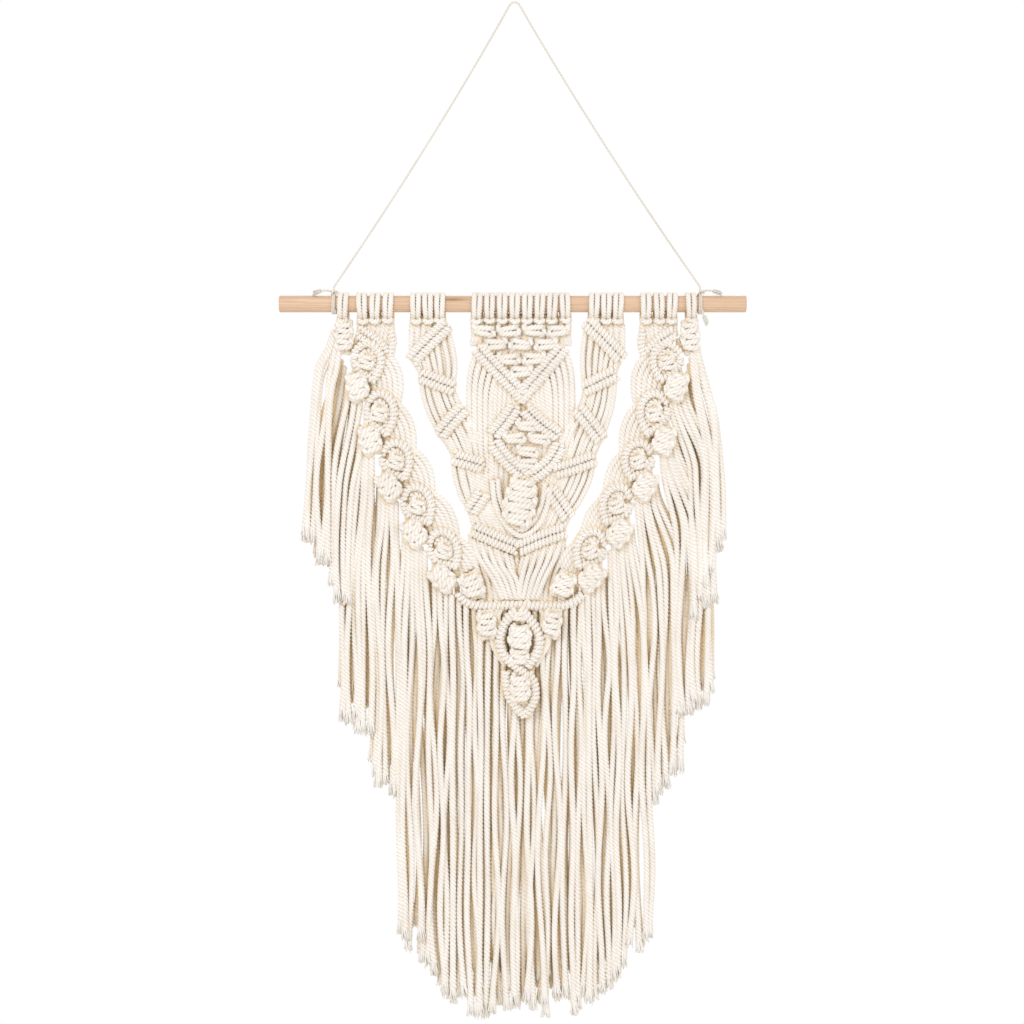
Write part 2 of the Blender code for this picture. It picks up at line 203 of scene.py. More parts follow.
# Twine: the cotton look with fewer plies and less bump; its darker cream and warm are painted shade, the
# cotton as it looks in shade
twineLook = {
    **cottonLook,
    "cream": (0.76, 0.73, 0.67),
    "warm": (0.70, 0.66, 0.60),
    "plies": 2.0,
    "bump": 0.4,
}
woodLook = {
    "light": (0.76, 0.56, 0.40),
    "dark": (0.61, 0.405, 0.26),
    "streak": (0.33, 0.21, 0.10),
    "tone": (0.62, 1.15),
    "grainLength": 0.045,
    "grainScale": 900,
    "broadScale": 130,
    "broadShare": 0.6,
    "ringMiddle": (0, 0.021, 0.2263 - 0.012),
    "ringLength": 0.06,
    "ringScale": 210,
    "ringShare": 0.28,
    "knotPlace": (0.0465, 0.006, 0.2235),
    "knotScale": (60, 260, 560),
    "knotReach": 1.1,
    "bump": 0.35,
    "bumpDepth": 0.0002,
    "roughness": 0.55,
}


def addMath(nodes, links, operation, first, second=None, third=None, clamp=False):
    node = addNode(nodes, "Math", operation=operation, use_clamp=clamp)
    for socket, value in zip(node.inputs, (first, second, third)):
        if value is None:
            continue
        if isinstance(value, (int, float)):
            socket.default_value = value
        else:
            links.new(value, socket)
    return node.outputs[0]


def addMix(nodes, links, factor, first, second):
    node = addNode(nodes, "Mix", data_type="RGBA")
    for socket, value in ((node.inputs[0], factor), (node.inputs[6], first), (node.inputs[7], second)):
        if isinstance(value, tuple):
            socket.default_value = (*value, 1)
        else:
            links.new(value, socket)
    return node.outputs[2]


def addNoise(nodes, links, vector, scale, detail=3.0, roughness=0.5):
    node = addNode(nodes, "TexNoise", {"Scale": scale, "Detail": detail, "Roughness": roughness})
    links.new(vector, node.inputs["Vector"])
    return node.outputs["Fac"]


def addRange(nodes, links, value, limits):
    node = addNode(nodes, "MapRange", dict(zip(("From Min", "From Max", "To Max"), limits)))
    links.new(value, node.inputs["Value"])
    return node.outputs[0]


def addBump(nodes, links, shader, height, look):
    node = addNode(nodes, "Bump", {"Strength": look["bump"], "Distance": look["bumpDepth"]})
    links.new(height, node.inputs["Height"])
    links.new(node.outputs[0], shader.inputs["Normal"])


def newMaterial(name):
    material = bpy.data.materials.new(name)
    material.use_nodes = True
    nodes = material.node_tree.nodes
    return material, nodes, material.node_tree.links, nodes["Principled BSDF"]


# Fibre group: how near a point is to the groove between two plies (the mask for painted groove shade), a slow
# tone, and the height of the fibres
def makeFibreGroup():
    group = bpy.data.node_groups.new("spunFibre", "ShaderNodeTree")
    for way, names in (("INPUT", ("Plies", "Fibre")), ("OUTPUT", ("GrooveShade", "Tone", "Height"))):
        for name in names:
            group.interface.new_socket(name=name, in_out=way, socket_type="NodeSocketFloat")
    nodes, links = group.nodes, group.links
    given = nodes.new("NodeGroupInput")
    result = nodes.new("NodeGroupOutput")
    cordMap = addNode(nodes, "UVMap", uv_map="cordMap")
    split = addNode(nodes, "SeparateXYZ")
    links.new(cordMap.outputs[0], split.inputs[0])
    around = addMath(nodes, links, "MULTIPLY", split.outputs[0], given.outputs["Plies"])
    crest = addMath(nodes, links, "PINGPONG", around, 0.5)
    groove = addMath(nodes, links, "MULTIPLY", crest, fibreLook["grooveEdge"], clamp=True)
    links.new(addMath(nodes, links, "SUBTRACT", 1.0, groove), result.inputs["GrooveShade"])
    stretched = addNode(nodes, "CombineXYZ")
    links.new(addMath(nodes, links, "MULTIPLY", around, fibreLook["yarnsAround"]), stretched.inputs[0])
    slant = addMath(nodes, links, "MULTIPLY", around, fibreLook["yarnSlant"])
    slant = addMath(nodes, links, "ADD", split.outputs[1], slant)
    links.new(addMath(nodes, links, "MULTIPLY", slant, fibreLook["yarnsAlong"]), stretched.inputs[1])
    yarns = addNoise(nodes, links, stretched.outputs[0], fibreLook["yarnScale"], 3.0, 0.62)
    place = addNode(nodes, "TexCoord")
    fuzz = addNoise(nodes, links, place.outputs["Object"], fibreLook["fuzzScale"], 3.0, 0.65)
    fuzz = addMath(nodes, links, "MULTIPLY", fuzz, fibreLook["fuzzShare"])
    height = addMath(nodes, links, "ADD", yarns, fuzz)
    links.new(addMath(nodes, links, "MULTIPLY", height, given.outputs["Fibre"]), result.inputs["Height"])
    slow = addNode(nodes, "CombineXYZ")
    links.new(addMath(nodes, links, "MULTIPLY", split.outputs[1], fibreLook["alongTone"]), slow.inputs[0])
    cordTone = addNoise(nodes, links, slow.outputs[0], 1.0, 1.0)
    patchTone = addNoise(nodes, links, place.outputs["Object"], fibreLook["patchScale"], 2.0)
    tone = addMath(nodes, links, "MULTIPLY_ADD", cordTone, fibreLook["alongShare"], patchTone)
    links.new(tone, result.inputs["Tone"])
    return group


def makeCotton(name, look):
    material, nodes, links, shader = newMaterial(name)
    fibre = addNode(nodes, "Group", node_tree=fibreGroup)
    fibre.inputs["Plies"].default_value = look["plies"]
    fibre.inputs["Fibre"].default_value = look["fibre"]
    tone = addRange(nodes, links, fibre.outputs["Tone"], look["tone"])
    body = addMix(nodes, links, tone, look["cream"], look["warm"])
    # painted shade: where the fibres are low, the colour is mixed toward the shadow colour
    fibreHollowShade = addRange(nodes, links, fibre.outputs["Height"], look["fibreHollowShade"])
    body = addMix(nodes, links, fibreHollowShade, body, look["shadow"])
    # painted shade: the grooves between plies are darkened toward the groove colour
    share = addMath(nodes, links, "MULTIPLY", fibre.outputs["GrooveShade"], look["grooveShadeShare"])
    colour = addMix(nodes, links, share, body, look["groove"])
    # painted shade: cords deep behind others and faces between cords are mixed toward a warm brown
    paintedShade = addNode(nodes, "Attribute", attribute_name="paintedCreaseShade")
    colour = addMix(nodes, links, paintedShade.outputs["Fac"], colour, look["paintedShade"])
    links.new(colour, shader.inputs["Base Color"])
    rough = addMath(nodes, links, "MULTIPLY_ADD", fibre.outputs["Height"], 0.12, look["roughness"] - 0.06)
    links.new(rough, shader.inputs["Roughness"])
    shader.inputs["Sheen Weight"].default_value = look["sheen"]
    shader.inputs["Sheen Roughness"].default_value = 0.6
    shader.inputs["Specular IOR Level"].default_value = 0.25
    addBump(nodes, links, shader, fibre.outputs["Height"], look)
    return material


def makeWood(name, look):
    material, nodes, links, shader = newMaterial(name)
    place = addNode(nodes, "TexCoord").outputs["Object"]
    stretch = addNode(nodes, "Mapping", {"Scale": (look["grainLength"], 1, 1)})
    links.new(place, stretch.inputs["Vector"])
    grain = addNoise(nodes, links, stretch.outputs[0], look["grainScale"], 5.0, 0.6)
    broad = addNoise(nodes, links, stretch.outputs[0], look["broadScale"], 3.0)
    waves = {"Scale": look["ringScale"], "Distortion": 3.5, "Detail": 2}
    rings = addNode(nodes, "TexWave", waves, wave_type="RINGS", rings_direction="X")
    centred = addNode(nodes, "Mapping", {"Location": look["ringMiddle"], "Scale": (look["ringLength"], 1, 1)})
    links.new(place, centred.inputs["Vector"])
    links.new(centred.outputs[0], rings.inputs["Vector"])
    mixed = addMath(nodes, links, "MULTIPLY_ADD", rings.outputs["Fac"], look["ringShare"], grain)
    mixed = addMath(nodes, links, "MULTIPLY_ADD", broad, look["broadShare"], mixed)
    colour = addMix(nodes, links, addRange(nodes, links, mixed, look["tone"]), look["light"], look["dark"])
    # a small dark knot streak on the front
    knotPlace = [at * scale for at, scale in zip(look["knotPlace"], look["knotScale"])]
    knot = addNode(nodes, "Mapping", {"Location": knotPlace, "Scale": look["knotScale"]})
    links.new(place, knot.inputs["Vector"])
    away = addNode(nodes, "VectorMath", operation="LENGTH")
    links.new(knot.outputs[0], away.inputs[0])
    near = addMath(nodes, links, "SUBTRACT", look["knotReach"], away.outputs["Value"], clamp=True)
    colour = addMix(nodes, links, near, colour, look["streak"])
    links.new(colour, shader.inputs["Base Color"])
    shader.inputs["Specular IOR Level"].default_value = 0.35
    rough = addMath(nodes, links, "MULTIPLY_ADD", grain, 0.2, look["roughness"] - 0.1)
    links.new(rough, shader.inputs["Roughness"])
    addBump(nodes, links, shader, grain, look)
    return material


fibreGroup = makeFibreGroup()
cotton = makeCotton("twistedCotton", cottonLook)
twineCotton = makeCotton("thinTwine", twineLook)
wood = makeWood("beechWood", woodLook)
print("stage: materials")


# ---- cords as real twisted geometry
cordLook = {
    "plies": 3,
    "grooveDepth": 0.74,
    "pitchShare": 1.85,  # length of one full twist, in diameters
}
cordRing = np.array([cordLook["grooveDepth"], 1.0, 1.0] * cordLook["plies"])
twineRing = np.array([0.62, 0.93, 1.0, 0.93] * 2)
yarnRing = np.ones(4)


def newPiece(name):
    return {"name": name, "points": [], "quads": [], "quadMap": [], "tris": [], "triMap": [], "count": 0}


# A smooth line through the points, with a point every step
def smoothRoute(points, step):
    points = np.asarray(points, float)
    gaps = np.maximum(np.linalg.norm(np.diff(points, axis=0), axis=1), 1e-7)
    knots = np.concatenate([[0], np.cumsum(gaps**0.5)])
    slopes = np.gradient(points, knots, axis=0)
    fine = np.linspace(0, knots[-1], 10 * len(points))
    i = np.clip(np.searchsorted(knots, fine, side="right") - 1, 0, len(points) - 2)
    span = (knots[i + 1] - knots[i])[:, None]
    u = ((fine - knots[i])[:, None]) / span
    line = (2 * u**3 - 3 * u**2 + 1) * points[i] + (u**3 - 2 * u**2 + u) * span * slopes[i]
    line += (3 * u**2 - 2 * u**3) * points[i + 1] + (u**3 - u**2) * span * slopes[i + 1]
    return evenRoute(line, step)


def evenRoute(line, step):
    run = np.concatenate([[0], np.cumsum(np.linalg.norm(np.diff(line, axis=0), axis=1))])
    count = max(4, int(round(run[-1] / step)) + 1)
    places = np.linspace(0, run[-1], count)
    return np.column_stack([np.interp(places, run, line[:, k]) for k in range(3)])


def framesAlong(line):
    tangents = np.gradient(line, axis=0)
    tangents /= np.linalg.norm(tangents, axis=1)[:, None]
    seed = np.array([0.0, -1.0, 0.0])
    if abs(tangents[0] @ seed) > 0.9:
        seed = np.array([1.0, 0.0, 0.0])
    normals = np.empty_like(line)
    normal = seed
    for i, tangent in enumerate(tangents):
        normal = normal - (normal @ tangent) * tangent
        normal = normal / math.sqrt(normal @ normal)
        normals[i] = normal
    return normals, np.cross(tangents, normals)


# A closed tube whose ring is turned by turnEach from one place to the next
def addTube(piece, line, radii, ring, turnEach, mapStart, mapEnd=None, start=0.0):
    count, around = len(line), len(ring)
    normals, sides = framesAlong(line)
    angles = start + turnEach * np.arange(count)[:, None] + 2 * np.pi / around * np.arange(around)[None]
    reach = radii[:, None] * ring[None]
    points = line[:, None] + (reach * np.cos(angles))[..., None] * normals[:, None]
    points = points + (reach * np.sin(angles))[..., None] * sides[:, None]
    base = piece["count"]
    piece["points"].append(points.reshape(-1, 3))
    piece["points"].append(line[[0, -1]])
    piece["count"] += count * around + 2
    i, j = np.meshgrid(np.arange(count - 1), np.arange(around), indexing="ij")
    after = (j + 1) % around
    now, later = i * around, (i + 1) * around
    quads = np.stack([now + j, now + after, later + after, later + j], -1)
    piece["quads"].append(base + quads.reshape(-1, 4))
    run = np.concatenate([[0], np.cumsum(np.linalg.norm(np.diff(line, axis=0), axis=1))]) / 0.01 + mapStart
    u0, u1 = (j / around, (j + 1) / around) if mapEnd is None else (j * 0 + mapEnd, j * 0 + mapEnd)
    corners = np.stack([u0, run[i], u1, run[i], u1, run[i + 1], u0, run[i + 1]], -1)
    piece["quadMap"].append(corners.reshape(-1, 2))
    ringNow, ringNext = np.arange(around), (np.arange(around) + 1) % around
    tail = (count - 1) * around
    first = np.stack([np.full(around, count * around), ringNext, ringNow], -1)
    last = np.stack([np.full(around, count * around + 1), tail + ringNow, tail + ringNext], -1)
    piece["tris"].append(base + np.concatenate([first, last]))
    piece["triMap"].append(np.tile([1 / 6, mapStart], (6 * around, 1)))


def addCord(piece, points, thickness, rng, taper=0.6, flare=0.0, coarse=1.0):
    thickness = thickness * mm
    step = thickness * cordLook["pitchShare"] / len(cordRing) * coarse
    line = smoothRoute(points, step)
    radii = np.full(len(line), thickness / 2)
    if flare:
        toEnd = (len(line) - 1 - np.arange(len(line))) * step / mm / fringe["flareLength"]
        radii *= 1 + flare * np.clip(1 - toEnd, 0, 1) ** 1.5
    radii[[0, -1]] *= taper
    turnEach = -2 * np.pi / len(cordRing) * coarse
    addTube(piece, line, radii, cordRing, turnEach, rng.uniform(0, 400), start=rng.uniform(0, 6))
    return line


fray = {
    "inside": 3.5,  # how far up inside the cord the yarns start
    "lean": 0.45,
    "near": (0.20, 0.26),  # the yarns' way from the middle, in thicknesses: least and range
    "far": (0.12, 0.38),
    "farthest": 0.74,
    "radii": (0.6, 0.75, 0.42),
}


# Loose yarns where a cord's end has come apart
def addFray(piece, line, thickness, rng, length=11.0, yarns=24, spread=1.9):
    end = line[-1]
    back = line[max(0, len(line) - 6)]
    direction = end - back
    direction = direction / np.linalg.norm(direction)
    across = np.cross(direction, [0.0, 1.0, 0.0])
    across = across / max(np.linalg.norm(across), 1e-9)
    deep = np.cross(across, direction)
    lean = rng.uniform(-fray["lean"], fray["lean"])
    for k in range(yarns):
        angle = k * 2.4 + rng.uniform(-0.3, 0.3)
        near = thickness * mm * (fray["near"][0] + fray["near"][1] * rng.random())
        far = spread * (fray["far"][0] + fray["far"][1] * rng.random())
        far = thickness * mm * min(fray["farthest"], far)
        reach = length * mm * rng.uniform(0.72, 1.08)
        places = []
        for t in (0, 0.3, 0.62, 1.0):
            radius = near + (far - near) * t**1.3
            sway = lean * t * t * 1.2 * mm
            offset = radius * (math.cos(angle + 0.5 * t) * across + math.sin(angle + 0.5 * t) * deep)
            places.append(end + direction * (reach * t - fray["inside"] * mm) + offset + sway * across)
        spine = smoothRoute(places, reach / 4)
        radii = np.interp(np.arange(len(spine)), [0, 1, len(spine) - 1], fray["radii"]) * mm
        mapStart, start = rng.uniform(0, 400), rng.uniform(0, 6)
        addTube(piece, spine, radii, yarnRing, 0.3, mapStart, mapEnd=0.13, start=start)


def finishPiece(piece, body, nodes=(), material=None, blend=None):
    points = np.concatenate(piece["points"])
    quads, tris = np.concatenate(piece["quads"]), np.concatenate(piece["tris"])
    mesh = bpy.data.meshes.new(piece["name"])
    mesh.vertices.add(len(points))
    mesh.vertices.foreach_set("co", points.ravel().astype(np.float32))
    mesh.loops.add(quads.size + tris.size)
    mesh.loops.foreach_set("vertex_index", np.concatenate([quads.ravel(), tris.ravel()]).astype(np.int32))
    mesh.polygons.add(len(quads) + len(tris))
    starts = np.concatenate([np.arange(len(quads)) * 4, quads.size + np.arange(len(tris)) * 3])
    mesh.polygons.foreach_set("loop_start", starts.astype(np.int32))
    mesh.polygons.foreach_set("use_smooth", np.ones(len(starts), bool))
    mesh.update(calc_edges=True)
    cordMap = mesh.uv_layers.new(name="cordMap")
    places = np.concatenate(piece["quadMap"] + piece["triMap"])
    cordMap.data.foreach_set("uv", places.ravel().astype(np.float32))
    mesh.materials.append(material or cotton)
    made = bpy.data.objects.new(piece["name"], mesh)
    bpy.context.scene.collection.objects.link(made)
    if blend:
        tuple(blend[2])
        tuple(blend[3])
        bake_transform(made)
    else:
        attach(made, body)
    if nodes:
        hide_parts(*nodes)
    corded.append(made)
    return made


# Painted shade: what lies deep behind other cords is painted a warm brown, on faces that look forward or at a
# cord
shadePainting = {
    "cell": 1.0,
    "window": 2,  # cells that are looked at to each side
    "free": 1.0,  # depth that gets no painted shade
    "full": 4.0,
    "gain": 1.6,
    "forward": (0.05, 1.15),
    "strength": 0.95,
    "sideways": 0.6,
    "besideCell": 1.5,
    "beside": (2.3, 3.4, 4.5),  # how far from a face another cord is looked for
}
corded = []


def besideOthers(points, normals):
    cell = shadePainting["besideCell"] * mm
    margin = max(shadePainting["beside"]) * mm + cell
    low = points.min(0) - margin
    filled = np.zeros(((points.max(0) + margin - low) / cell).astype(int) + 1, bool)
    filled[tuple(((points - low) / cell).astype(int).T)] = True
    beside = np.zeros(len(points), bool)
    for reach in shadePainting["beside"]:
        beside |= filled[tuple(((points + normals * reach * mm - low) / cell).astype(int).T)]
    return beside


# Painted shade: how far each point lies behind the cords in front of it sets how much warm brown its colour
# gets
def paintCreaseShade():
    cell = shadePainting["cell"] * mm
    allPoints, allNormals = [], []
    for made in corded:
        count = len(made.data.vertices)
        points, normals = np.empty(count * 3, np.float32), np.empty(count * 3, np.float32)
        made.data.vertices.foreach_get("co", points)
        made.data.vertex_normals.foreach_get("vector", normals)
        allPoints.append(points.reshape(-1, 3))
        allNormals.append(normals.reshape(-1, 3))
    points, normals = np.concatenate(allPoints), np.concatenate(allNormals)
    edge = shadePainting["window"] + 1
    low = points.min(0)
    column = ((points[:, 0] - low[0]) / cell).astype(int) + edge
    row = ((points[:, 2] - low[2]) / cell).astype(int) + edge
    front = np.full((column.max() + edge + 1, row.max() + edge + 1), 1.0)
    np.minimum.at(front, (column, row), points[:, 1])
    shade, looks = np.zeros(len(points)), 0
    for i in range(-shadePainting["window"], shadePainting["window"] + 1):
        for j in range(-shadePainting["window"], shadePainting["window"] + 1):
            behind = (points[:, 1] - front[column + i, row + j]) / mm - shadePainting["free"]
            shade += np.clip(behind / shadePainting["full"], 0, 1)
            looks += 1
    forward = np.clip(shadePainting["forward"][0] - shadePainting["forward"][1] * normals[:, 1], 0, 1)
    sideways = shadePainting["sideways"] * besideOthers(points, normals) * np.clip(1 - 2 * normals[:, 1], 0, 1)
    forward = np.maximum(forward, sideways)
    shade = np.clip(shade / looks * shadePainting["gain"], 0, 1) * forward * shadePainting["strength"]
    start = 0
    for made, own in zip(corded, allPoints):
        layer = made.data.attributes.new("paintedCreaseShade", "FLOAT", "POINT")
        layer.data.foreach_set("value", shade[start:start + len(own)].astype(np.float32))
        start += len(own)


# ---- hanging twine, its two ties and the dowel
hangingTwine = {
    "thickness": 1.6,
    "pitch": 5.6,
    "leftEnd": -0.1355,
    "rightEnd": 0.1391,
    "endDrop": 0.2135,
    "nailBend": 0.004,
    "nailTurn": 1.052,  # angle round the nail to each side, in radians
    "sag": 0.00029,  # how much the slope grows, per mm of drop
    "points": 14,
}


def twineRoute():
    places = []
    bend, turn, sag = hangingTwine["nailBend"], hangingTwine["nailTurn"], hangingTwine["sag"] / mm
    for end in (hangingTwine["leftEnd"], hangingTwine["rightEnd"]):
        way = math.copysign(1, end)
        side = []
        for k in range(4):
            angle = turn * k / 3
            side.append((way * bend * math.sin(angle), 0, -bend * (1 - math.cos(angle))))
        offX, offDrop = abs(side[-1][0]), -side[-1][2]
        fall = hangingTwine["endDrop"] - offDrop
        slope = (abs(end) - offX) / fall - sag * fall
        for k in range(1, hangingTwine["points"] + 1):
            drop = fall * k / hangingTwine["points"]
            side.append((way * (offX + slope * drop + sag * drop * drop), 0, -offDrop - drop))
        places.append(side)
    return places[0][::-1] + places[1][1:]


def addTwine(piece, points, rng, fray=False):
    step = hangingTwine["pitch"] * mm / len(twineRing)
    line = smoothRoute(points, step)
    radii = np.full(len(line), hangingTwine["thickness"] * mm / 2)
    radii[[0, -1]] *= 0.6
    addTube(piece, line, radii, twineRing, -2 * np.pi / len(twineRing), rng.uniform(0, 400))
    if fray:
        addFray(piece, line, 2.4, rng, length=7.0, yarns=8, spread=2.2)
    return line


def makeTwine():
    rng = random.Random(3)
    piece = newPiece("hangingTwine")
    line = addTwine(piece, twineRoute(), rng)
    made = finishPiece(piece, "root", ["hanging_cord"], twineCotton)


tie = {
    "windPoints": 30,
    "windTurn": 2 * math.pi / 11,
    "hitchPoints": 12,
    "hitchTurn": 2 * math.pi / 9,
    # places in m: to the side, in depth, and above the dowel's top
    "tail": ((0, -0.001, 0.0014), (0.004, -0.004, 0.0026), (0.009, -0.005, 0.0022), (0.0125, -0.005, 0.0012)),
    "tuft": ((0.001, -0.006, -0.004), (0.002, -0.006, -0.0085), (0.004, -0.005, -0.0125)),
}


# Two and a half windings on the dowel, a small knot on its front and a short frayed tail
def makeTie(name, node, x, side, rng):
    piece = newPiece(name)
    radius = (dowelMiddle[2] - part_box("dowel")[0][2]) + 0.0009
    places = []
    for i in range(tie["windPoints"]):
        angle = math.pi * 0.5 + i * tie["windTurn"]
        high = dowelMiddle[2] + radius * math.sin(angle)
        places.append((x - 0.0016 + i * 0.00011, -radius * math.cos(angle), high))
    addTwine(piece, places, rng)
    top = dowelMiddle[2] + radius
    hitch = []
    for i in range(tie["hitchPoints"]):
        angle = i * tie["hitchTurn"]
        hitch.append((x + 0.0018 * math.cos(angle) + 0.00012 * i, -0.0012 - 0.0015 * math.sin(angle),
                      top + 0.0014 + 0.0010 * math.sin(angle * 1.5)))
    addTwine(piece, hitch, rng)
    neck = [(x, -0.0005, top + 0.0002), (x, -0.0004, top + 0.0030), (x * 0.998, 0, top + 0.0062)]
    addTwine(piece, neck, rng)
    addTwine(piece, [(x + side * out, y, top + up) for out, y, up in tie["tail"]], rng, fray=True)
    if side == right:
        addTwine(piece, [(x + out, y, dowelMiddle[2] + up) for out, y, up in tie["tuft"]], rng, fray=True)
    return finishPiece(piece, "root", [node], twineCotton)


dowelRod = {"sides": 96, "endBevel": 0.0009, "bevelSteps": 3}


def makeDowel():
    low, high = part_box("dowel")
    bpy.ops.object.select_all(action="DESELECT")
    bpy.ops.mesh.primitive_cylinder_add(
        vertices=dowelRod["sides"], radius=(high[2] - low[2]) / 2, depth=high[0] - low[0],
        location=dowelMiddle, rotation=(0, math.pi / 2, 0)
    )
    rod = bpy.context.object
    rod.name = "dowelRod"
    bpy.ops.object.transform_apply(location=True, rotation=True, scale=True)
    bpy.ops.object.mode_set(mode="EDIT")
    bpy.ops.mesh.select_mode(type="FACE")
    bpy.ops.mesh.select_all(action="DESELECT")
    bpy.ops.object.mode_set(mode="OBJECT")
    for face in rod.data.polygons:
        face.select = abs(face.normal.x) > 0.9
    bpy.ops.object.mode_set(mode="EDIT")
    bpy.ops.mesh.region_to_loop()
    bpy.ops.mesh.bevel(offset=dowelRod["endBevel"], segments=dowelRod["bevelSteps"], affect="EDGES")
    bpy.ops.object.mode_set(mode="OBJECT")
    bpy.ops.object.shade_smooth_by_angle(angle=math.radians(40))
    rod.data.materials.append(wood)
    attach(rod, "root")
    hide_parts("dowel")


tieRng = random.Random(5)
tieLeft = makeTie("twineTieLeft", "hanging_tie_left", hangingTwine["leftEnd"], left, tieRng)
tieRight = makeTie("twineTieRight", "hanging_tie_right", hangingTwine["rightEnd"], right, tieRng)
makeTwine()
makeDowel()
print("stage: twine and dowel")


# ---- fringe: each column's cords start under its knots and end in loose yarns; places are (out, drop) in mm
fringe = {
    "thickness": 4.7,
    "frayLength": 12.5,
    "swayOut": 1.6,
    "swayFront": 0.8,
    "flare": 0.3,  # how much thicker a cord is where its end comes apart
    "flareLength": 16,
    "weave": 1.3,
    "coarseBehind": 1.5,  # how much longer the steps of the cords behind are
    "bendAbove": 7.0,
    "bendBelow": 11.0,
}
hinge = {"outer": 75.7, "middle": 118.5, "inner": 156.0, "skirt": 232.5}


def ease(t):
    t = min(1.0, max(0.0, t))
    return t * t * (3 - 2 * t)


def hangingRoute(start, end, rng, settle=0.3, direct=0.25):
    length = math.dist(start[:2], end[:2])
    count = max(9, int(length / 13))
    waves = [(rng.uniform(0.7, 1.6), rng.uniform(0, 6.3), rng.uniform(0.3, 1.0)) for _ in range(4)]
    places = []
    for i in range(count + 1):
        t = i / count
        go = (1 - direct) * ease(t / settle) + direct * t
        calm = ease(t * 4) * min(1.0, length / 150)
        wide = sum(a * math.sin(6.3 * f * t * length / 190 + p) for f, p, a in waves[:2])
        deep = sum(a * math.sin(6.3 * f * t * length / 160 + p) for f, p, a in waves[2:])
        wide, deep = wide * fringe["swayOut"], deep * fringe["swayFront"]
        out = start[0] + (end[0] - start[0]) * go + wide * calm
        front = start[2] + (end[2] - start[2]) * ease(t / min(1.0, settle * 1.2)) + deep * calm
        places.append((out, start[1] + (end[1] - start[1]) * t, front))
    return places


def addStrand(piece, side, start, end, rng, settle=0.3, direct=0.25, coarse=1.0):
    route = onWork(hangingRoute(start, end, rng, settle, direct), side)
    thickness = fringe["thickness"] * rng.uniform(0.95, 1.06)
    line = addCord(piece, route, thickness, rng, flare=fringe["flare"], coarse=coarse)
    reach = fringe["frayLength"] * rng.uniform(0.8, 1.15)
    addFray(piece, line, fringe["thickness"], rng, reach)
    tip = line[-1] + (line[-1] - line[-6]) / np.linalg.norm(line[-1] - line[-6]) * (reach * 0.78) * mm
    return np.vstack([line, tip])


def acrossJoint(column, side):
    body = column if column == "skirt" else f"fringe_{'left' if side == left else 'right'}_{column}"
    top = onWork([(0, hinge[column] - fringe["bendAbove"], 0)])[0]
    bottom = onWork([(0, hinge[column] + fringe["bendBelow"], 0)])[0]
    return ("panel", body, tuple(top), tuple(bottom))


def spreadOver(first, last, count, rng, jitter=(0.0, 0.0)):
    places = []
    for i in range(count):
        t = i / max(1, count - 1)
        place = [a + (b - a) * t for a, b in zip(first, last)]
        place[0] += rng.uniform(-jitter[0], jitter[0])
        place[1] += rng.uniform(-jitter[1], jitter[1])
        places.append(place)
    return places


# The start and end of each of a group's cords, every other one a little in front
def strandEnds(group, rng, startJitter, endJitter):
    starts = spreadOver(*group["from"], group["count"], rng, (startJitter, 1.0))
    ends = spreadOver(*group["to"], group["count"], rng, (endJitter, group["ragged"]))
    for i, (start, end) in enumerate(zip(starts, ends)):
        lift = fringe["weave"] * (i % 2)
        yield (*start[:2], start[2] + lift), (*end[:2], end[2] + lift)


def fillColumn(piece, side, group, rng):
    coarse = fringe["coarseBehind"] if group["from"][0][2] < -4 else 1.0
    for start, end in strandEnds(group, rng, 0.4, 1.6):
        addStrand(piece, side, start, end, rng, group["settle"], group["direct"], coarse)


# A group of cords side by side; starts and ends are the first and last cord's (out, drop, front)
def strands(starts, ends, count, settle=0.3, direct=0.25, ragged=6):
    return {"from": starts, "to": ends, "count": count, "settle": settle, "direct": direct, "ragged": ragged}


sideColumns = {
    "left": {
        "outer": [
            strands(((137, 19, 1), (133.5, 37, 2)), ((160, 164, 3), (143, 192, 3)), 6, 0.22, 0.55),
            strands(((126, 60, 0), (112, 70, 1)), ((139, 205, 4), (126, 218, 3)), 4, 0.5),
            strands(((136, 30, -4.8), (120, 74, -4.8)), ((156, 168, -5), (128, 208, -5)), 9, 0.6),
        ],
        "middle": [
            strands(((118, 98, 0), (108.5, 112, 1)), ((131, 302, 1), (111, 310, 1)), 6, 0.45),
            strands(((122, 84, -4.8), (110, 106, -4.8)), ((131, 282, -4), (108, 298, -5)), 8, 0.5),
        ],
        "inner": [
            strands(((103, 134, 0), (91, 147, 1)), ((107.5, 352, 0), (90, 360, 0)), 5, 0.3),
            strands(((104, 130, -4.8), (92, 142, -4.8)), ((108, 335, -5), (88, 350, -5)), 7),
        ],
    },
    "right": {
        "outer": [
            strands(((134, 18, 1), (131, 36, 2)), ((152.5, 170, 3), (142, 200, 3)), 6, 0.5, 0.2),
            strands(((126, 60, 0), (114, 70, 1)), ((147, 214, 4), (131, 222, 3)), 5, 0.4, 0.1),
            strands(((134, 30, -4.8), (120, 74, -4.8)), ((150, 184, -5), (131, 210, -5)), 10, 0.45, 0.15),
        ],
        "middle": [
            strands(((118, 98, 0), (108.5, 112, 1)), ((145, 288, 1), (121, 304, 1)), 7, 0.34, 0.08),
            strands(((122, 84, -4.8), (110, 106, -4.8)), ((144, 276, -4), (119, 298, -5)), 8, 0.34, 0.08),
        ],
        "inner": [
            strands(((103, 134, 0), (90, 146, 1)), ((122, 340, 0), (96.5, 368, 0)), 6, 0.3, 0.08),
            strands(((104, 130, -4.8), (92, 142, -4.8)), ((121, 326, -5), (95, 358, -5)), 8, 0.3, 0.08),
        ],
    },
}
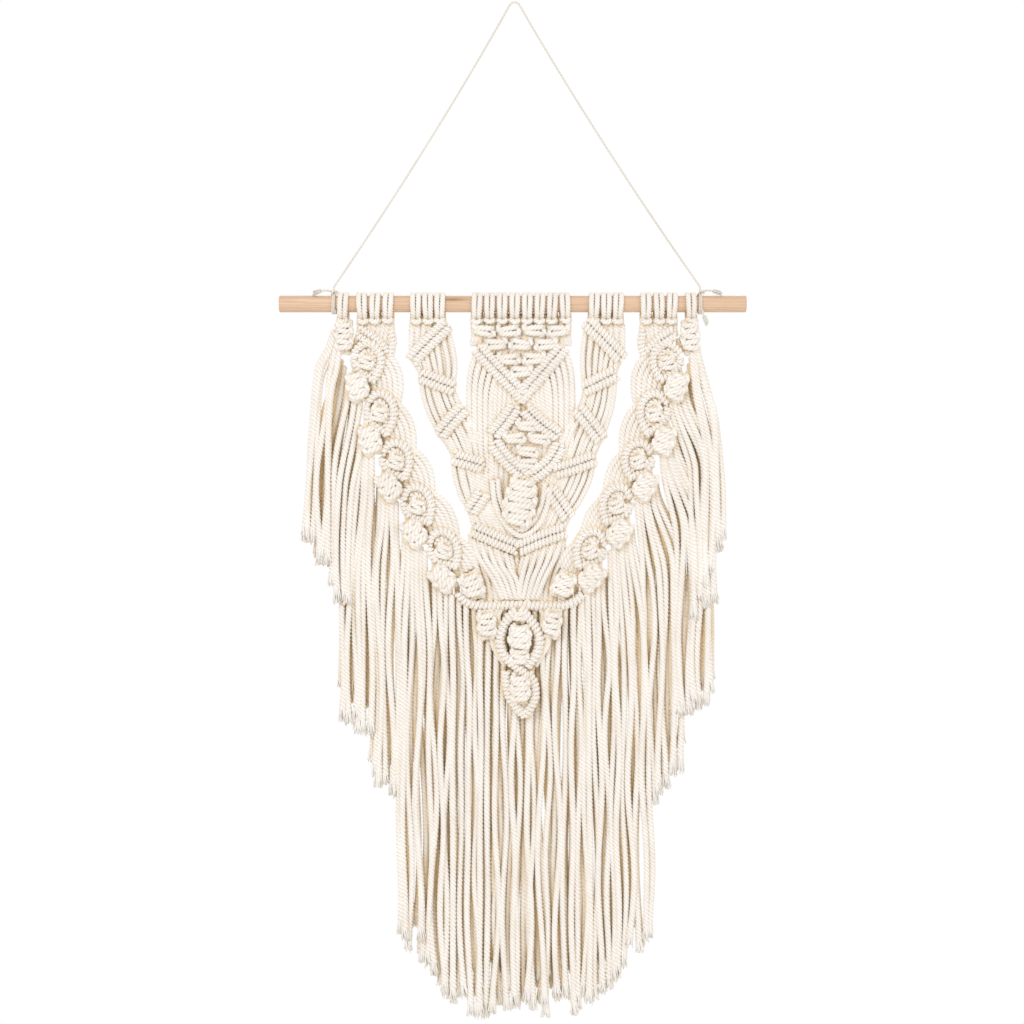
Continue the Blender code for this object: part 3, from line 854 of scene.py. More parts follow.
skirt = {
    "left": [
        strands(((84, 171, 0), (69, 184, 1)), ((88, 460, 1), (66.5, 488, 1)), 6, 0.25, ragged=9),
        strands(((62, 205, 0), (49, 218, 1)), ((62, 498, 1), (47, 516, 1)), 4, 0.25, ragged=9),
    ],
    "right": [
        strands(((86, 165, 0), (70, 184, 1)), ((100, 464, 1), (72, 494, 1)), 7, 0.25, ragged=9),
        strands(((64, 203, 0), (49, 218, 1)), ((67.5, 500, 1), (50, 516, 1)), 5, 0.25, ragged=9),
    ],
    "centre": [strands(((44, 222, 0), (-48, 222, 0)), ((43, 515, 0), (-46, 520, 0)), 17, 0.25, ragged=11)],
    "behind": [
        strands(((82, 186, -5), (46, 222, -5)), ((85, 460, -4.5), (46, 505, -4.5)), 10, ragged=12),
        strands(((43, 222, -5), (-1, 222, -5)), ((42, 500, -4.5), (3, 515, -4.5)), 11, ragged=12),
        strands(((-3, 222, -5), (-46, 222, -5)), ((-5, 510, -4.5), (-46, 500, -4.5)), 10, ragged=12),
        strands(((36, 224, -8.6), (-36, 224, -8.6)), ((36, 495, -8.2), (-38, 495, -8.2)), 15, ragged=12),
        strands(((-48, 222, -5), (-84, 186, -5)), ((-50, 500, -4.5), (-97, 462, -4.5)), 11, ragged=12),
        strands(((66, 203, -8.6), (40, 212, -8.6)), ((68, 480, -8.2), (42, 495, -8.2)), 6, ragged=12),
        strands(((-40, 212, -8.6), (-70, 200, -8.6)), ((-42, 490, -8.2), (-78, 474, -8.2)), 7, ragged=12),
    ],
}


def declareStrand(name, side, start, end, group, rng, nodes=()):
    piece = newPiece(name)
    path = addStrand(piece, side, start, end, rng, group["settle"], group["direct"])
    made = finishPiece(piece, None, nodes, blend=acrossJoint("skirt", side))


def makeFringe():
    for sideName, side in (("left", left), ("right", right)):
        for column, groups in sideColumns[sideName].items():
            rng = random.Random(f"{sideName}{column}")
            piece = newPiece(f"fringe{sideName.title()}{column.title()}")
            for group in groups:
                fillColumn(piece, side, group, rng)
            finishPiece(piece, None, [f"fringe_{sideName}_{column}"], blend=acrossJoint(column, side))
    number = 0
    for sideName, side in (("left", left), ("right", right), ("centre", left)):
        for g, group in enumerate(skirt[sideName]):
            rng = random.Random(f"skirt{sideName}{g}")
            for i, (start, end) in enumerate(strandEnds(group, rng, 0.3, 1.9)):
                number += 1
                nodes = [f"fringe_skirt_{sideName}"] if i == 0 and g == 0 else ()
                declareStrand(f"skirtCord{number:02d}", side, start, end, group, rng, nodes)
    rng = random.Random(77)
    for g, group in enumerate(skirt["behind"]):
        piece = newPiece(f"skirtBehind{g + 1}")
        fillColumn(piece, left, group, rng)
        finishPiece(piece, None, blend=acrossJoint("skirt", left))


makeFringe()
print("stage: fringe")


# ---- lark's heads: each doubled cord goes up the dowel's front, down its back and across under it
larksHead = {
    "thickness": 4.1,
    "half": 2.1,
    "around": 8.4,
    "barDrop": 13.4,
    "barFront": 4.8,
    "tailDrop": 21.0,
    "pressed": 0.7,  # how thick the cord stays where it is pressed on the dowel
    "neighbour": 11.0,  # heads nearer than this have a cord behind the gap between them
}


def headRoute():
    half, around, bar = larksHead["half"], larksHead["around"], larksHead["barDrop"]
    oneSide = [
        (half * 0.9, larksHead["tailDrop"], -0.5),
        (half * 0.72, bar + 1.5, -0.6),
        (half * 0.76, bar - 2.6, 1.4),
        (half * 0.9, 6.4, 5.9),
        (half * 1.02, 0, around),
        (half, -6.0, 6.0),
        (half, -around, 0),
        (half, -6.0, -6.0),
        (half, 0, -around),
        (half * 1.25, 6.4, -6.6),
        (half * 1.4, 10.8, -4.2),
        (half * 1.5, bar - 0.6, -0.4),
        (half * 1.3, bar - 0.9, 2.9),
        (half * 0.7, bar + 0.1, 4.4),
        (0, bar + 0.5, larksHead["barFront"]),
    ]
    return oneSide + [(-x, drop, front) for x, drop, front in oneSide[-2::-1]]


# The cord is flattened where it goes over the dowel
def pressOnDowel(piece):
    radius = dowelMiddle[2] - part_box("dowel")[0][2]
    for points in piece["points"]:
        high = points[:, 2] - dowelMiddle[2]
        reach = np.hypot(points[:, 1], high)
        share = np.clip((0.010 + high) / 0.007, 0, 1)
        pressed = radius + (reach - radius) * (1 - (1 - larksHead["pressed"]) * share)
        scale = np.where(reach > radius, pressed / reach, 1)
        points[:, 1] *= scale
        points[:, 2] = dowelMiddle[2] + high * scale


def makeLarksHeads():
    middles = [middleOf(f"larks_head_{number:02d}")[0] for number in range(1, 23)]
    for number in range(1, 23):
        node = f"larks_head_{number:02d}"
        rng = random.Random(number)
        middle = middles[number - 1]
        piece = newPiece(f"larksHead{number:02d}")
        lean = rng.uniform(-0.7, 0.7)
        sag = rng.uniform(-0.4, 0.4)
        places = []
        for x, drop, front in headRoute():
            places.append((x + lean * drop / 14, drop + (sag if drop > 12 else 0), front))
        addCord(piece, onWork(places, right, middle), larksHead["thickness"], rng)
        pressOnDowel(piece)
        gap = (middles[number] - middle) / mm if number < 22 else larksHead["neighbour"]
        if gap < larksHead["neighbour"]:
            behind = [(gap / 2, 8.6, -1.4), (gap / 2, 12, -1.6), (gap / 2, 18, -1.8)]
            addCord(piece, onWork(behind, right, middle), larksHead["thickness"], rng, taper=0.95)
        finishPiece(piece, "panel", [node])


makeLarksHeads()
print("stage: lark's heads")


# ---- knots; all their places are (out, drop, front) in mm
knots = {
    "rowCord": 3.3,
    "rowPitch": 2.95,  # along the row, from one wrap to the next
    "rowHalf": 1.8,  # the wrap's middle to the row's line, across
    "rowDeep": 2.0,  # and in depth
    "rowApart": 6.1,  # between the lines of a double row
    "strand": 4.5,
    "packed": 4.9,  # cords that lie close together
    "behind": 5.0,
    "square": 4.1,
    # one half knot's places: to the side and in depth in thicknesses, up in rises
    "frontLoop": ((-1.42, 0.42, -0.1), (-0.85, 0.12, 0.95), (0, 0, 1.12), (0.85, -0.1, 0.85)),
    "backLoop": (
        (1.45, 0.42, 0.6), (1.5, 0.02, 0.75), (0.95, -0.25, -0.75), (0, -0.3, -1.1), (-0.95, -0.25, -0.75)
    ),
    "loopEnd": 1.15,
}


def flatRoute(points, step=0.5):
    points = np.array([p if len(p) == 3 else (*p, 0.0) for p in points], float)
    return smoothRoute(points, step)


def acrossRoute(line):
    tangent = np.gradient(line, axis=0)
    normal = np.column_stack([-tangent[:, 1], tangent[:, 0], np.zeros(len(line))])
    return normal / np.linalg.norm(normal, axis=1)[:, None]


# One hitched row: a cord wound tightly along the line, as double half hitches lie
def addRow(piece, points, side, rng, middle=None, shift=0.0, half=None, deep=None, cord=None, front=1.5,
           lean=1):
    line = flatRoute(points)
    normal = acrossRoute(line)
    line = line + normal * shift
    run = np.concatenate([[0], np.cumsum(np.linalg.norm(np.diff(line, axis=0), axis=1))])
    half, deep, cord = half or knots["rowHalf"], deep or knots["rowDeep"], cord or knots["rowCord"]
    turns = run[-1] / (knots["rowPitch"] * cord / knots["rowCord"])
    samples = int(turns * 10)
    turn = np.linspace(0, turns, samples)
    along = np.linspace(0, run[-1], samples)
    beat = rng.uniform(0, 6)
    wobble = 1 + 0.07 * np.sin(turn * 1.7 + beat) + 0.05 * np.sin(turn * 3.1 + 2 * beat)
    angle = lean * side * 2 * np.pi * turn + beat
    place = np.column_stack([np.interp(along, run, line[:, k]) for k in range(3)])
    sideways = np.column_stack([np.interp(along, run, normal[:, k]) for k in range(3)])
    place = place + sideways * (half * np.cos(angle) * wobble)[:, None]
    place[:, 2] += front + deep * np.sin(angle) * wobble
    addCord(piece, onWork(place, side, middle), cord, rng)


def addDoubleRow(piece, points, side, rng, middle=None, front=1.5, lean=1):
    for shift in (-0.5, 0.5):
        addRow(piece, points, side, rng, middle, shift * knots["rowApart"], front=front, lean=lean)


# Square knots one under the other: one cord makes every bar in front, the other passes behind
def addSquareKnots(piece, at, halfKnots, rise, side, rng, middle=None, cord=None, bulge=0.0, angle=0.0,
                   wide=1.0, first=1, ends=0.7):
    d = cord = cord or knots["square"]
    front, back = [], []
    s = first
    top = halfKnots * rise / 2
    endUp, endOut = top + ends * rise, knots["loopEnd"]
    angle += rng.uniform(-0.09, 0.09)
    at = (at[0] + rng.uniform(-0.5, 0.5), at[1] + rng.uniform(-0.4, 0.4), at[2])
    front.append((-s * endOut * d, endUp, -0.2 * d))
    back.append((s * endOut * d, endUp, 0.1 * d))
    for k in range(halfKnots):
        level = top - (k + 0.5) * rise
        front += [(s * x * d, level + up * rise, out * d) for x, up, out in knots["frontLoop"]]
        back += [(s * x * d, level + up * rise, out * d) for x, up, out in knots["backLoop"]]
        s = -s
    front.append((-s * endOut * d, -endUp, -0.2 * d))
    back.append((s * endOut * d, -endUp, 0.1 * d))
    fillers = [[(x * d, endUp, 0), (x * d, 0, 0), (x * 0.9 * d, -endUp, 0)] for x in (-0.5, 0.5)]
    turnCos, turnSin = math.cos(angle), math.sin(angle)
    for route in [front, back, *fillers]:
        places = []
        for x, up, out in route:
            x = x * wide * (1 - 0.28 * bulge / 3 * min(1, abs(up) / top) ** 2)
            swell = bulge * math.sqrt(max(0.0, 1 - min(1.0, abs(up) / (top + 0.8 * rise)) ** 2))
            x, down = x * turnCos + up * turnSin, -up * turnCos + x * turnSin
            places.append((at[0] + x + rng.uniform(-0.15, 0.15), at[1] + down + rng.uniform(-0.15, 0.15),
                           at[2] + out + swell))
        addCord(piece, onWork(places, side, middle), cord, rng)


def addRun(piece, points, side, rng, middle=None, cord=None):
    places = [(p[0], p[1], p[2] if len(p) == 3 else 0.0) for p in points]
    addCord(piece, onWork(places, side, middle), (cord or knots["strand"]) * rng.uniform(0.96, 1.03), rng)


between = {
    "trim": (0.04, 0.96),  # the part of each row that the cords take up
    # each place's share of the way, and how far it is pushed
    "places": ((-0.05, 0), (0.15, 0.55), (0.35, 0.92), (0.55, 1.0), (0.75, 0.75), (0.92, 0.25), (1.05, 0)),
}


# Cords from one row to the next; bow pushes their middles out, or in where it is negative
def addBetween(piece, upper, lower, count, side, rng, bow, front=0.0, cord=None, loose=0.0):
    upper, lower = flatRoute(upper), flatRoute(lower)
    trim = between["trim"]
    for i in range(count):
        t = trim[0] + (trim[1] - trim[0]) * i / max(1, count - 1)
        a = upper[int(t * (len(upper) - 1))]
        b = lower[int(t * (len(lower) - 1))]
        gap = b - a
        reach = np.linalg.norm(gap[:2])
        push = bow * reach * (0.55 + 0.45 * abs(2 * t - 1)) + loose * rng.uniform(-1, 1)
        places = []
        for share, swell in between["places"]:
            p = a + gap * share
            lift = front + 1.2 * math.sin(math.pi * min(1, max(0, share))) + rng.uniform(-0.2, 0.2)
            places.append((p[0] + push * swell + rng.uniform(-0.2, 0.2), p[1], lift))
        addRun(piece, places, side, rng, None, cord)


# ---- centre block, its places out from its own middle
centre = {
    "leftVee": ((32.5, 33.5), (19, 48), (2, 65.5), (-3, 71)),
    "rightVee": ((-31.5, 32.5), (-18, 48.5), (-2, 67), (2, 72)),
    "leftTop": ((4, 76.5), (11, 86.5), (20.5, 98)),
    "rightTop": ((-3, 78.5), (-14, 89), (-28.5, 99)),
    "leftBottom": ((20.5, 104), (13, 114), (3, 124), (-5, 130)),
    "rightBottom": ((-29.5, 105.5), (-23, 117), (-13, 126), (-3, 132)),
    "knotRows": (
        (20.5, (-28.4, -9.4, 9.4, 28.4)),
        (31.0, (-18.8, 0, 18.8)),
        (41.5, (-9.4, 9.4)),
        (51.5, (0,)),
    ),
    "diamondKnots": ((-4.3, 91.5), (5.0, 101), (-13.6, 101.5), (-4.3, 111), (-4.8, 120)),
    "knotRise": 4.0,
}


def makeCentre():
    rng = random.Random(11)
    piece = newPiece("centreKnots")
    for drop, outs in centre["knotRows"]:
        for out in outs:
            for k in (-1, 1):
                for shift in (1.4, 4.2):
                    route = [(out + k * (shift - 1), drop + 1, -0.4), (out + k * shift, drop + 4.4, 0.5),
                             (out + k * (9.4 - shift), drop + 7.4, 0.4),
                             (out + k * (9 - shift), drop + 11, -0.6)]
                    addRun(piece, route, left, rng, centreMiddle, 3.9)
            addSquareKnots(piece, (out, drop, 0.5), 2, centre["knotRise"], left, rng, centreMiddle, cord=4.5,
                           wide=1.1, first=rng.choice((-1, 1)), angle=rng.uniform(-0.08, 0.08))
    for i in range(16):
        out = (i - 7.5) * 4.75
        end = 67 - abs(out)
        route = [(out, 14, -1.0), (out, 18, -0.9), (out * 0.99, (16 + end) / 2, -0.9), (out, end, -1)]
        addRun(piece, route, left, rng, centreMiddle, knots["behind"])
    finishPiece(piece, "panel", ["centre_panel"])

    piece = newPiece("centreVeeRows")
    addDoubleRow(piece, centre["rightVee"], left, rng, centreMiddle, 2.2, -1)
    addDoubleRow(piece, centre["leftVee"], left, rng, centreMiddle, 3.0)
    finishPiece(piece, "panel", ["centre_vee_rows"])

    piece = newPiece("centreDiamond")
    addDoubleRow(piece, centre["leftTop"], left, rng, centreMiddle, 2.2, -1)
    addDoubleRow(piece, centre["rightTop"], left, rng, centreMiddle, 2.6)
    addDoubleRow(piece, centre["leftBottom"], left, rng, centreMiddle, 2.6)
    addDoubleRow(piece, centre["rightBottom"], left, rng, centreMiddle, 2.2, -1)
    for out, drop in centre["diamondKnots"]:
        addSquareKnots(piece, (out, drop, 0.4), 2, 3.7, left, rng, centreMiddle, cord=4.4, wide=1.1)
    for out in (-6, -2, 2, 6):
        route = [(out, 67, -1.8), (out, 78, -1.6), (out, 88, -1.8)]
        addRun(piece, route, left, rng, centreMiddle, knots["packed"])
    for i in range(9):
        out = -4.4 + (i - 4) * 4.6
        reach = 24 - abs(i - 4) * 4.6
        route = [(out, 104 - reach, -1.0), (out, 100, -0.4), (out, 104 + reach, -1.0)]
        addRun(piece, route, left, rng, centreMiddle, knots["packed"])
    finishPiece(piece, "panel", ["centre_diamond"])

    for name, side, shift in (("Left", left, 0.0), ("Right", right, -0.5)):
        piece = newPiece(f"centreStrands{name}")
        for i in range(5):
            start = 33.0 - i * 3.9
            end = 38.4 - i * 4.05 + shift
            top = 67 - start + 3
            route = [(start, top, 0), (start + 2.6, top + 6, 1), (end, top + 18, 0.8), (end + 0.4, 88, 0.4),
                     (end, 104, 0), (end - 1, 118 + 0.7 * i * i, -1)]
            addRun(piece, route, side, rng, centreMiddle, knots["packed"])
        for i in range(6):
            start = 18.5 - i * 3.4
            end = 20 - i * 3.1 + (3.0 if side == right else 0)
            top = 67 - start + 4
            bottom = 91 - i * 2.6
            route = [(start, top, -0.5), (start + 0.8, (top + bottom) / 2, 0.6), (end, bottom, -0.5)]
            addRun(piece, route, side, rng, centreMiddle, 4.7)
        for i in range(7):
            out = 38.5 - i * 5.0
            route = [(out * 0.84, 74 - out, -2.8), (out * 0.97, 88 - out, -3.2), (out, 108, -3.2)]
            addRun(piece, route, side, rng, centreMiddle, knots["behind"])
        finishPiece(piece, "panel", [f"centre_strands_{name.lower()}"])


makeCentre()
print("stage: centre")


# ---- bands beside the centre: each row is (from its outer end to its inner one)
bands = {
    "left": [
        ((79, 42.5), (67, 29.5), (52, 15.5)),
        ((72.5, 53.5), (60, 58.5), (47, 63.5)),
        ((58.5, 98.5), (49.5, 88), (40, 78)),
        ((47.5, 115), (37, 118), (25.5, 121.5)),
        ((35.5, 156), (30, 148.5), (25, 141.5)),
        ((32.5, 169), (15, 176.5), (-1, 183)),
    ],
    "right": [
        ((79, 41.5), (66, 27.5), (52, 13.5)),
        ((74, 52), (62, 58), (50, 64)),
        ((63.5, 102), (55, 90.5), (45.5, 78.5)),
        ((58, 116), (43, 121.5), (28, 126)),
        ((39, 160.5), (31.5, 149), (24, 137.5)),
        ((35.5, 170), (18, 176), (1, 183.5)),
    ],
    "bow": (-0.07, 0.08, -0.09, 0.08, -0.06),
    "cords": 7,
}


def makeBand(name, side):
    rng = random.Random(f"band{name}")
    rows = bands[name]
    piece = newPiece(f"band{name.title()}")
    for i, row in enumerate(rows):
        addDoubleRow(piece, row, side, rng, front=3.0, lean=1 if i % 2 else -1)
    heads = [(79 - i * 4.5, 14.5, -0.5) for i in range(6)]
    for i, head in enumerate(heads):
        t = i / 5
        end = flatRoute(rows[0])[int(t * 0.96 * (len(flatRoute(rows[0])) - 1))]
        addRun(piece, [head, (head[0], (head[1] + end[1]) / 2, 0.6), (end[0], end[1], 0)], side, rng)
    for upper, lower, bow in zip(rows[:-1], rows[1:], bands["bow"]):
        addBetween(piece, upper, lower, bands["cords"], side, rng, bow=bow, cord=4.1, loose=0.9)
        addBetween(piece, upper, lower, 6, side, rng, bow=bow * 0.6, front=-2.9, cord=4.6)
    finishPiece(piece, "panel", [f"inner_band_{name}"])


makeBand("left", left)
makeBand("right", right)
print("stage: bands")


# ---- wings: the same leaf, arcs and bobble five times; u runs to the next bobble, v to the inner edge
wing = {
    "start": (128.5, 26),
    "leafTop": ((0.32, 4), (0.20, 11.5), (0.24, 18), (0.40, 22), (0.60, 22), (0.79, 18), (0.94, 12.5)),
    "leafBottom": ((0.40, 3), (0.58, 2.0), (0.75, 6), (0.88, 10), (0.98, 13.5)),
    "leafInner": ((0.36, 9), (0.36, 14), (0.48, 17), (0.64, 16.5), (0.80, 12.5)),
    "knot": (0.58, 10.5),
    "arcs": 6,
    # the first arc's places: u and how it grows to the next arc, v and how it shrinks
    "arc": ((0.43, 0.07, 25, 2.2), (0.56, 0.06, 28.6, 3.5), (0.72, 0.04, 31.4, 4.0), (0.95, 0, 32.6, 4.1),
            (1.15, 0, 31.6, 4.0), (1.34, 0, 29.4, 3.8), (1.54, 0, 25.5, 3.4)),
    "arcReach": {"left": (1, 1, 1, 0.96, 0.9), "right": (1, 0.96, 0.88, 0.82, 0.8)},
    "backing": (6, 10.5, 15, 19.5, 24),
    "bobbleCord": 5.0,
    "bobbleRise": 3.75,
    "bobbleBulge": 3.2,
}


def bobblePlaces(name, side):
    places = [wing["start"]]
    for number in range(1, 6):
        x, _, z = middleOf(f"bobble_{name}_{number}")
        places.append((abs(x - workMiddle) / mm, (dowelMiddle[2] - z) / mm))
    return places


def unitPoint(places, k, u, v):
    a = np.array(places[k])
    b = np.array(places[k + 1]) if k + 1 < len(places) else 2 * np.array(places[k]) - np.array(places[k - 1])
    along = b - a
    across = np.array([-along[1], along[0]]) / np.linalg.norm(along)
    return a + along * u + across * v


def makeWing(name, side):
    rng = random.Random(f"wing{name}")
    places = bobblePlaces(name, side)
    rows = newPiece(f"wingRows{name.title()}")
    arcs = newPiece(f"wingArcs{name.title()}")
    for k in range(5):
        def at(points, front=0.0):
            return [(*unitPoint(places, k, u, v), front) for u, v in points]
        addRow(rows, at(wing["leafTop"]), side, rng, front=3.0, half=1.7, cord=3.5, lean=-1)
        addRow(rows, at(wing["leafBottom"]), side, rng, front=2.8, half=1.7, cord=3.5)
        addRow(rows, at(wing["leafInner"]), side, rng, front=1.0, half=1.4, cord=3.3, lean=-1)
        along = np.array(places[k + 1]) - np.array(places[k])
        tilt = math.atan2(-along[0], along[1])
        spot = unitPoint(places, k, *wing["knot"])
        addSquareKnots(rows, (*spot, 1.2), 3, 3.5, side, rng, cord=4.0, bulge=1.8, angle=-tilt, wide=0.88)
        for j in range(wing["arcs"]):
            bend = [(u + nextU * j, v - nextV * j) for u, nextU, v, nextV in wing["arc"]]
            if k == 4:
                bend = bend[:-2]
            reach = wing["arcReach"][name][k]
            route = at([(u, v * reach) for u, v in bend], 0.8 - 0.25 * j)
            route[0] = (*route[0][:2], -1.0)
            route[-1] = (*route[-1][:2], -1.6)
            addRun(arcs, route, side, rng, cord=knots["packed"])
        # cords from the leaf into the bobble below it
        for j in range(4):
            v = -4.5 + 3.6 * j
            route = [(*unitPoint(places, k, 0.50 + 0.04 * j, 2.5 + 2.2 * j), -0.5),
                     (*unitPoint(places, k, 0.66, 0.4 + 2.0 * j), 0.8),
                     (*unitPoint(places, k, 0.84, v), 0.6)]
            addRun(arcs, route, side, rng, cord=3.9)
    # top: cords from the heads cross once on their way into the first leaf
    for i in range(8):
        out = 118.5 - i * 3.5
        end = unitPoint(places, 0, 0.30 + 0.03 * i, 2 + 3.2 * i)
        addRun(arcs, [(out, 14, -0.5), (out - 0.3, 20, 0.3 - 0.2 * (i % 2)), (*end, -0.8)], side, rng)
    addDoubleRow(rows, [(119, 21), (109, 27), (99, 37.5)], side, rng, front=1.8)
    addRow(rows, [(94.5, 20), (93, 29), (95, 39)], side, rng, front=1.4, lean=-1)
    addSquareKnots(rows, (129.4, 25, 1.0), 5, 4.1, side, rng, cord=4.6, bulge=1.6, wide=0.8)
    # cords behind, that run on from knot to knot
    for v in wing["backing"]:
        route = []
        for k in range(5):
            front = -2.4 + 0.4 * math.sin(4 * k + v)
            route += [(*unitPoint(places, k, u, v), front) for u in (0.1, 0.6)]
        route = route[1:] + [(*unitPoint(places, 4, 1.1, v), -2.4)]
        addRun(arcs, route, side, rng, cord=5.2)
    finishPiece(rows, "panel", [f"wing_{name}"])
    finishPiece(arcs, "panel", [f"wing_{name}"])
    for number in range(1, 6):
        piece = newPiece(f"bobble{name.title()}{number}")
        out, drop = places[number]
        previous = np.array(places[number - 1])
        tilt = 1.35 * math.atan2(previous[0] - out, drop - previous[1])
        addSquareKnots(piece, (out, drop, 1.5), 5, wing["bobbleRise"], side, rng, cord=wing["bobbleCord"],
                       bulge=wing["bobbleBulge"], angle=tilt, wide=0.9, ends=0.4)
        finishPiece(piece, "panel", [f"bobble_{name}_{number}"])


makeWing("left", left)
makeWing("right", right)
print("stage: wings")


# ---- lower vee, collar and medallion; signed places, positive to the left
lower = {
    "bigKnot": (-2.4, 149.0),
    "loops": (
        ((14.5, 131), (12.6, 146), (6.4, 160), (-3.2, 169.5), (-12.5, 162), (-18.6, 149), (-21, 134)),
        ((18.6, 132), (16.6, 148), (9.6, 164), (-3.0, 174), (-15.5, 166.5), (-22.4, 152), (-25, 137)),
    ),
    "sideKnots": ((33.0, 211.5), (-34.5, 210.5)),
    "collar": ((44.5, 216.5), (39, 222.5), (29, 226), (0, 226), (-35, 226), (-44, 222.5), (-50, 216.5)),
}
medallion = {
    "leftRow": ((1.0, 229.5), (8.2, 238), (12.6, 250), (10.2, 262), (3, 269.5), (-7, 278)),
    "rightRow": ((-2.8, 228.5), (-11.4, 239), (-16.6, 250), (-14.4, 262), (-7, 271.5)),
    "sideKnots": ((22.3, 240.5), (-25.8, 239.5)),
    "berry": (-1.9, 249.8),
    "smallKnot": (-1.4, 264.0),
    "pendantLeft": ((8.6, 275.5), (7.6, 285), (5.6, 294), (0.5, 302), (-5.5, 308)),
    "pendantRight": ((-8, 275.5), (-12.6, 284), (-13.4, 293), (-10.5, 301.5), (-4.0, 309)),
    "pendantKnot": (-2.6, 287.5),
}


def makeLowerVee():
    rng = random.Random(21)
    piece = newPiece("lowerVee")
    addSquareKnots(piece, (*lower["bigKnot"], 1.6), 8, 4.2, left, rng, cord=5.4, bulge=3.6, wide=1.34,
                   angle=-0.1)
    for loop in lower["loops"]:
        addRun(piece, [(*p, 3.4) for p in loop], left, rng)
    for side in (left, right):
        for i in range(5):
            start = ((19 if side == left else 24) - i * 3.9, 108 + i * 4.6)
            end = (13 - i * 2.8, 172 + i * 1.5)
            addRun(piece, [(*start, -1.6), (start[0] + 0.5, start[1] + 18, -1.2),
                           (end[0] + 2.5, end[1] - 18, -1.0), (*end, -1.4)], side, rng)
        for i in range(6):
            start = (40 - i * 3.9, 105 + i * 4.3)
            end = (24 - i * 3.2, 171 + i * 2.2)
            addRun(piece, [(*start, -0.8), (start[0] - 3, start[1] + 18, 0.2),
                           (end[0] + 3.5, end[1] - 16, 0.2), (*end, -0.6)], side, rng)
        for i in range(6):
            start = (31 - i * 5, 122 + i * 5)
            end = (30 - i * 5, 178 + i * 2)
            addRun(piece, [(*start, -4), (start[0], 150, -4.4), (*end, -4)], side, rng)
        for i in range(6):
            start = (35 - i * 5.9 + rng.uniform(-0.8, 0.8), 172 + i * 3.2)
            end = (25 - i * 4.3 + rng.uniform(-1, 1), 224)
            addRun(piece, [(*start, -0.4), (start[0] - 2.2, start[1] + 14, -0.4 + 0.5 * (i % 2)),
                           (end[0] + 1.6, 208, -0.6), (*end, -0.9)], side, rng)
        for i in range(5):
            start = (33 - i * 6.1, 176 + i * 2.6)
            end = (10.5 - i * 3.4 + (4 if side == right else 0), 222)
            lift = 2.2 + 0.7 * ((i + (side == right)) % 2)
            addRun(piece, [(*start, 0.4), (start[0] - 3.4, start[1] + 12, lift),
                           ((start[0] + 2 * end[0]) / 3, 206, lift), (*end, 0.6)], side, rng, cord=4.3)
        for i in range(9):
            out = 38 - i * 4.7
            top = 176 - 0.37 * out + rng.uniform(-1, 1)
            addRun(piece, [(out * 0.82, top, 0.4), (out * 0.86, top + 9, -2.4), (out - 1, 204, -3.4),
                           (out, 224 + rng.uniform(-2, 2), -2.0)], side, rng, cord=knots["behind"])
    for i, spot in enumerate(lower["sideKnots"]):
        addSquareKnots(piece, (*spot, 1.4), 4, 3.9, left, rng, cord=4.9, bulge=2.2, angle=0.4 - 0.8 * i,
                       first=1 - 2 * i, wide=0.95)
    finishPiece(piece, "panel", ["lower_vee"])
    piece = newPiece("collarRow")
    addRow(piece, lower["collar"], left, rng, half=2.1, deep=2.6, cord=3.6, front=2.6)
    finishPiece(piece, "panel", ["collar_row"])


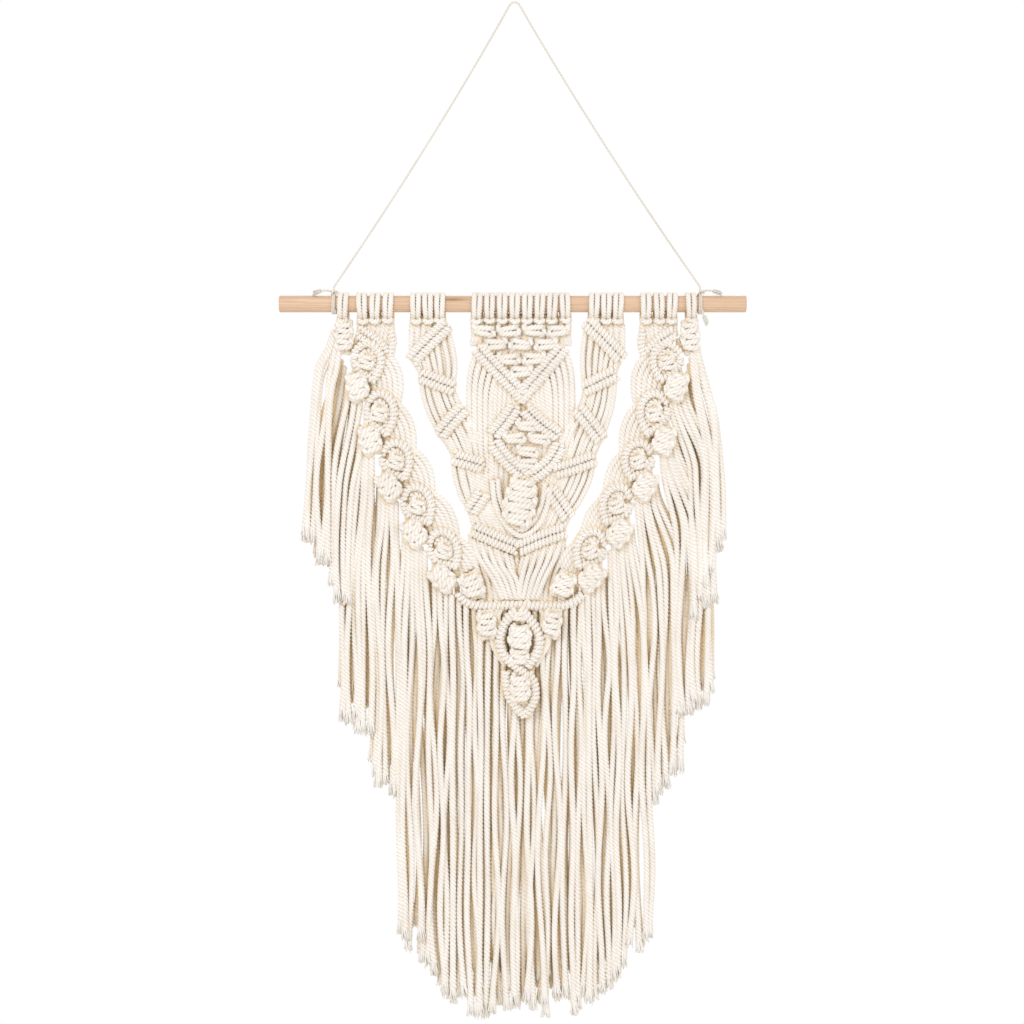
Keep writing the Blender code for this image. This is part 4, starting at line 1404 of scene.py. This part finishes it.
def makeMedallion():
    rng = random.Random(31)
    piece = newPiece("medallionRows")
    addRow(piece, medallion["rightRow"], left, rng, half=2.3, deep=2.4, cord=3.6, front=6.2, lean=-1)
    addRow(piece, medallion["leftRow"], left, rng, half=2.3, deep=2.4, cord=3.6, front=7.2)
    for i, spot in enumerate(medallion["sideKnots"]):
        addSquareKnots(piece, (*spot, 4.6), 4, 4.1, left, rng, cord=4.6, bulge=1.8, angle=0.16 - 0.32 * i,
                       wide=0.84)
    addSquareKnots(piece, (*medallion["smallKnot"], 5.4), 3, 3.6, left, rng, cord=4.4, bulge=1.2, wide=0.9)
    addSquareKnots(piece, (-1.4, 234.5, 4.4), 2, 3.4, left, rng, cord=4.2, bulge=0.6, wide=0.7)
    for inner, away in ((14, 1), (-20, -1)):
        for j in range(2):
            route = [(inner - away * 3.6 * j, 227.5, 2.4), (inner + away * (2.6 - 3.0 * j), 233, 4.4),
                     (inner + away * (2.2 - 3.2 * j), 239, 4.8), (inner - away * (2.4 + 2 * j), 245, 4.0)]
            addRun(piece, route, left, rng, cord=4.0)
    for side, inner in ((1, 17), (-1, -22)):
        for j in range(3):
            route = [(inner + side * (2 - 2 * j), 247 + 3 * j, 3.6),
                     (inner + side * (1 - 2.5 * j), 256 + 3 * j, 4),
                     (inner - side * (5 + 1.5 * j), 266 + 3 * j, 3)]
            addRun(piece, route, left, rng, cord=3.9)
    finishPiece(piece, None, ["medallion"], blend=acrossJoint("skirt", left))
    piece = newPiece("medallionBerry")
    addSquareKnots(piece, (*medallion["berry"], 6.0), 4, 3.9, left, rng, cord=5.2, bulge=3.4, wide=0.92,
                   ends=0.3)
    finishPiece(piece, "skirt", ["medallion_berry"])
    piece = newPiece("medallionPendant")
    addRow(piece, medallion["pendantRight"], left, rng, half=2.1, cord=3.4, front=5.6, lean=-1)
    addRow(piece, medallion["pendantLeft"], left, rng, half=2.1, cord=3.4, front=6.4)
    addSquareKnots(piece, (*medallion["pendantKnot"], 4.8), 5, 3.7, left, rng, cord=4.7, bulge=2.6, wide=0.9)
    for k in range(4):
        route = [(5.5 - 4.6 * k, 274, 2.6), (4.5 - 4.4 * k, 288, 2.8), (-0.5 - 2.2 * k, 304, 3.2)]
        addRun(piece, route, left, rng, cord=knots["behind"])
    finishPiece(piece, "skirt", ["medallion_pendant"])


makeLowerVee()
makeMedallion()
print("stage: lower vee, collar and medallion")


# painted shade in the creases, put into the colour of every cord
paintCreaseShade()
print("stage: creases", sum(len(made.data.polygons) * 2 for made in corded))


print("stage: done")
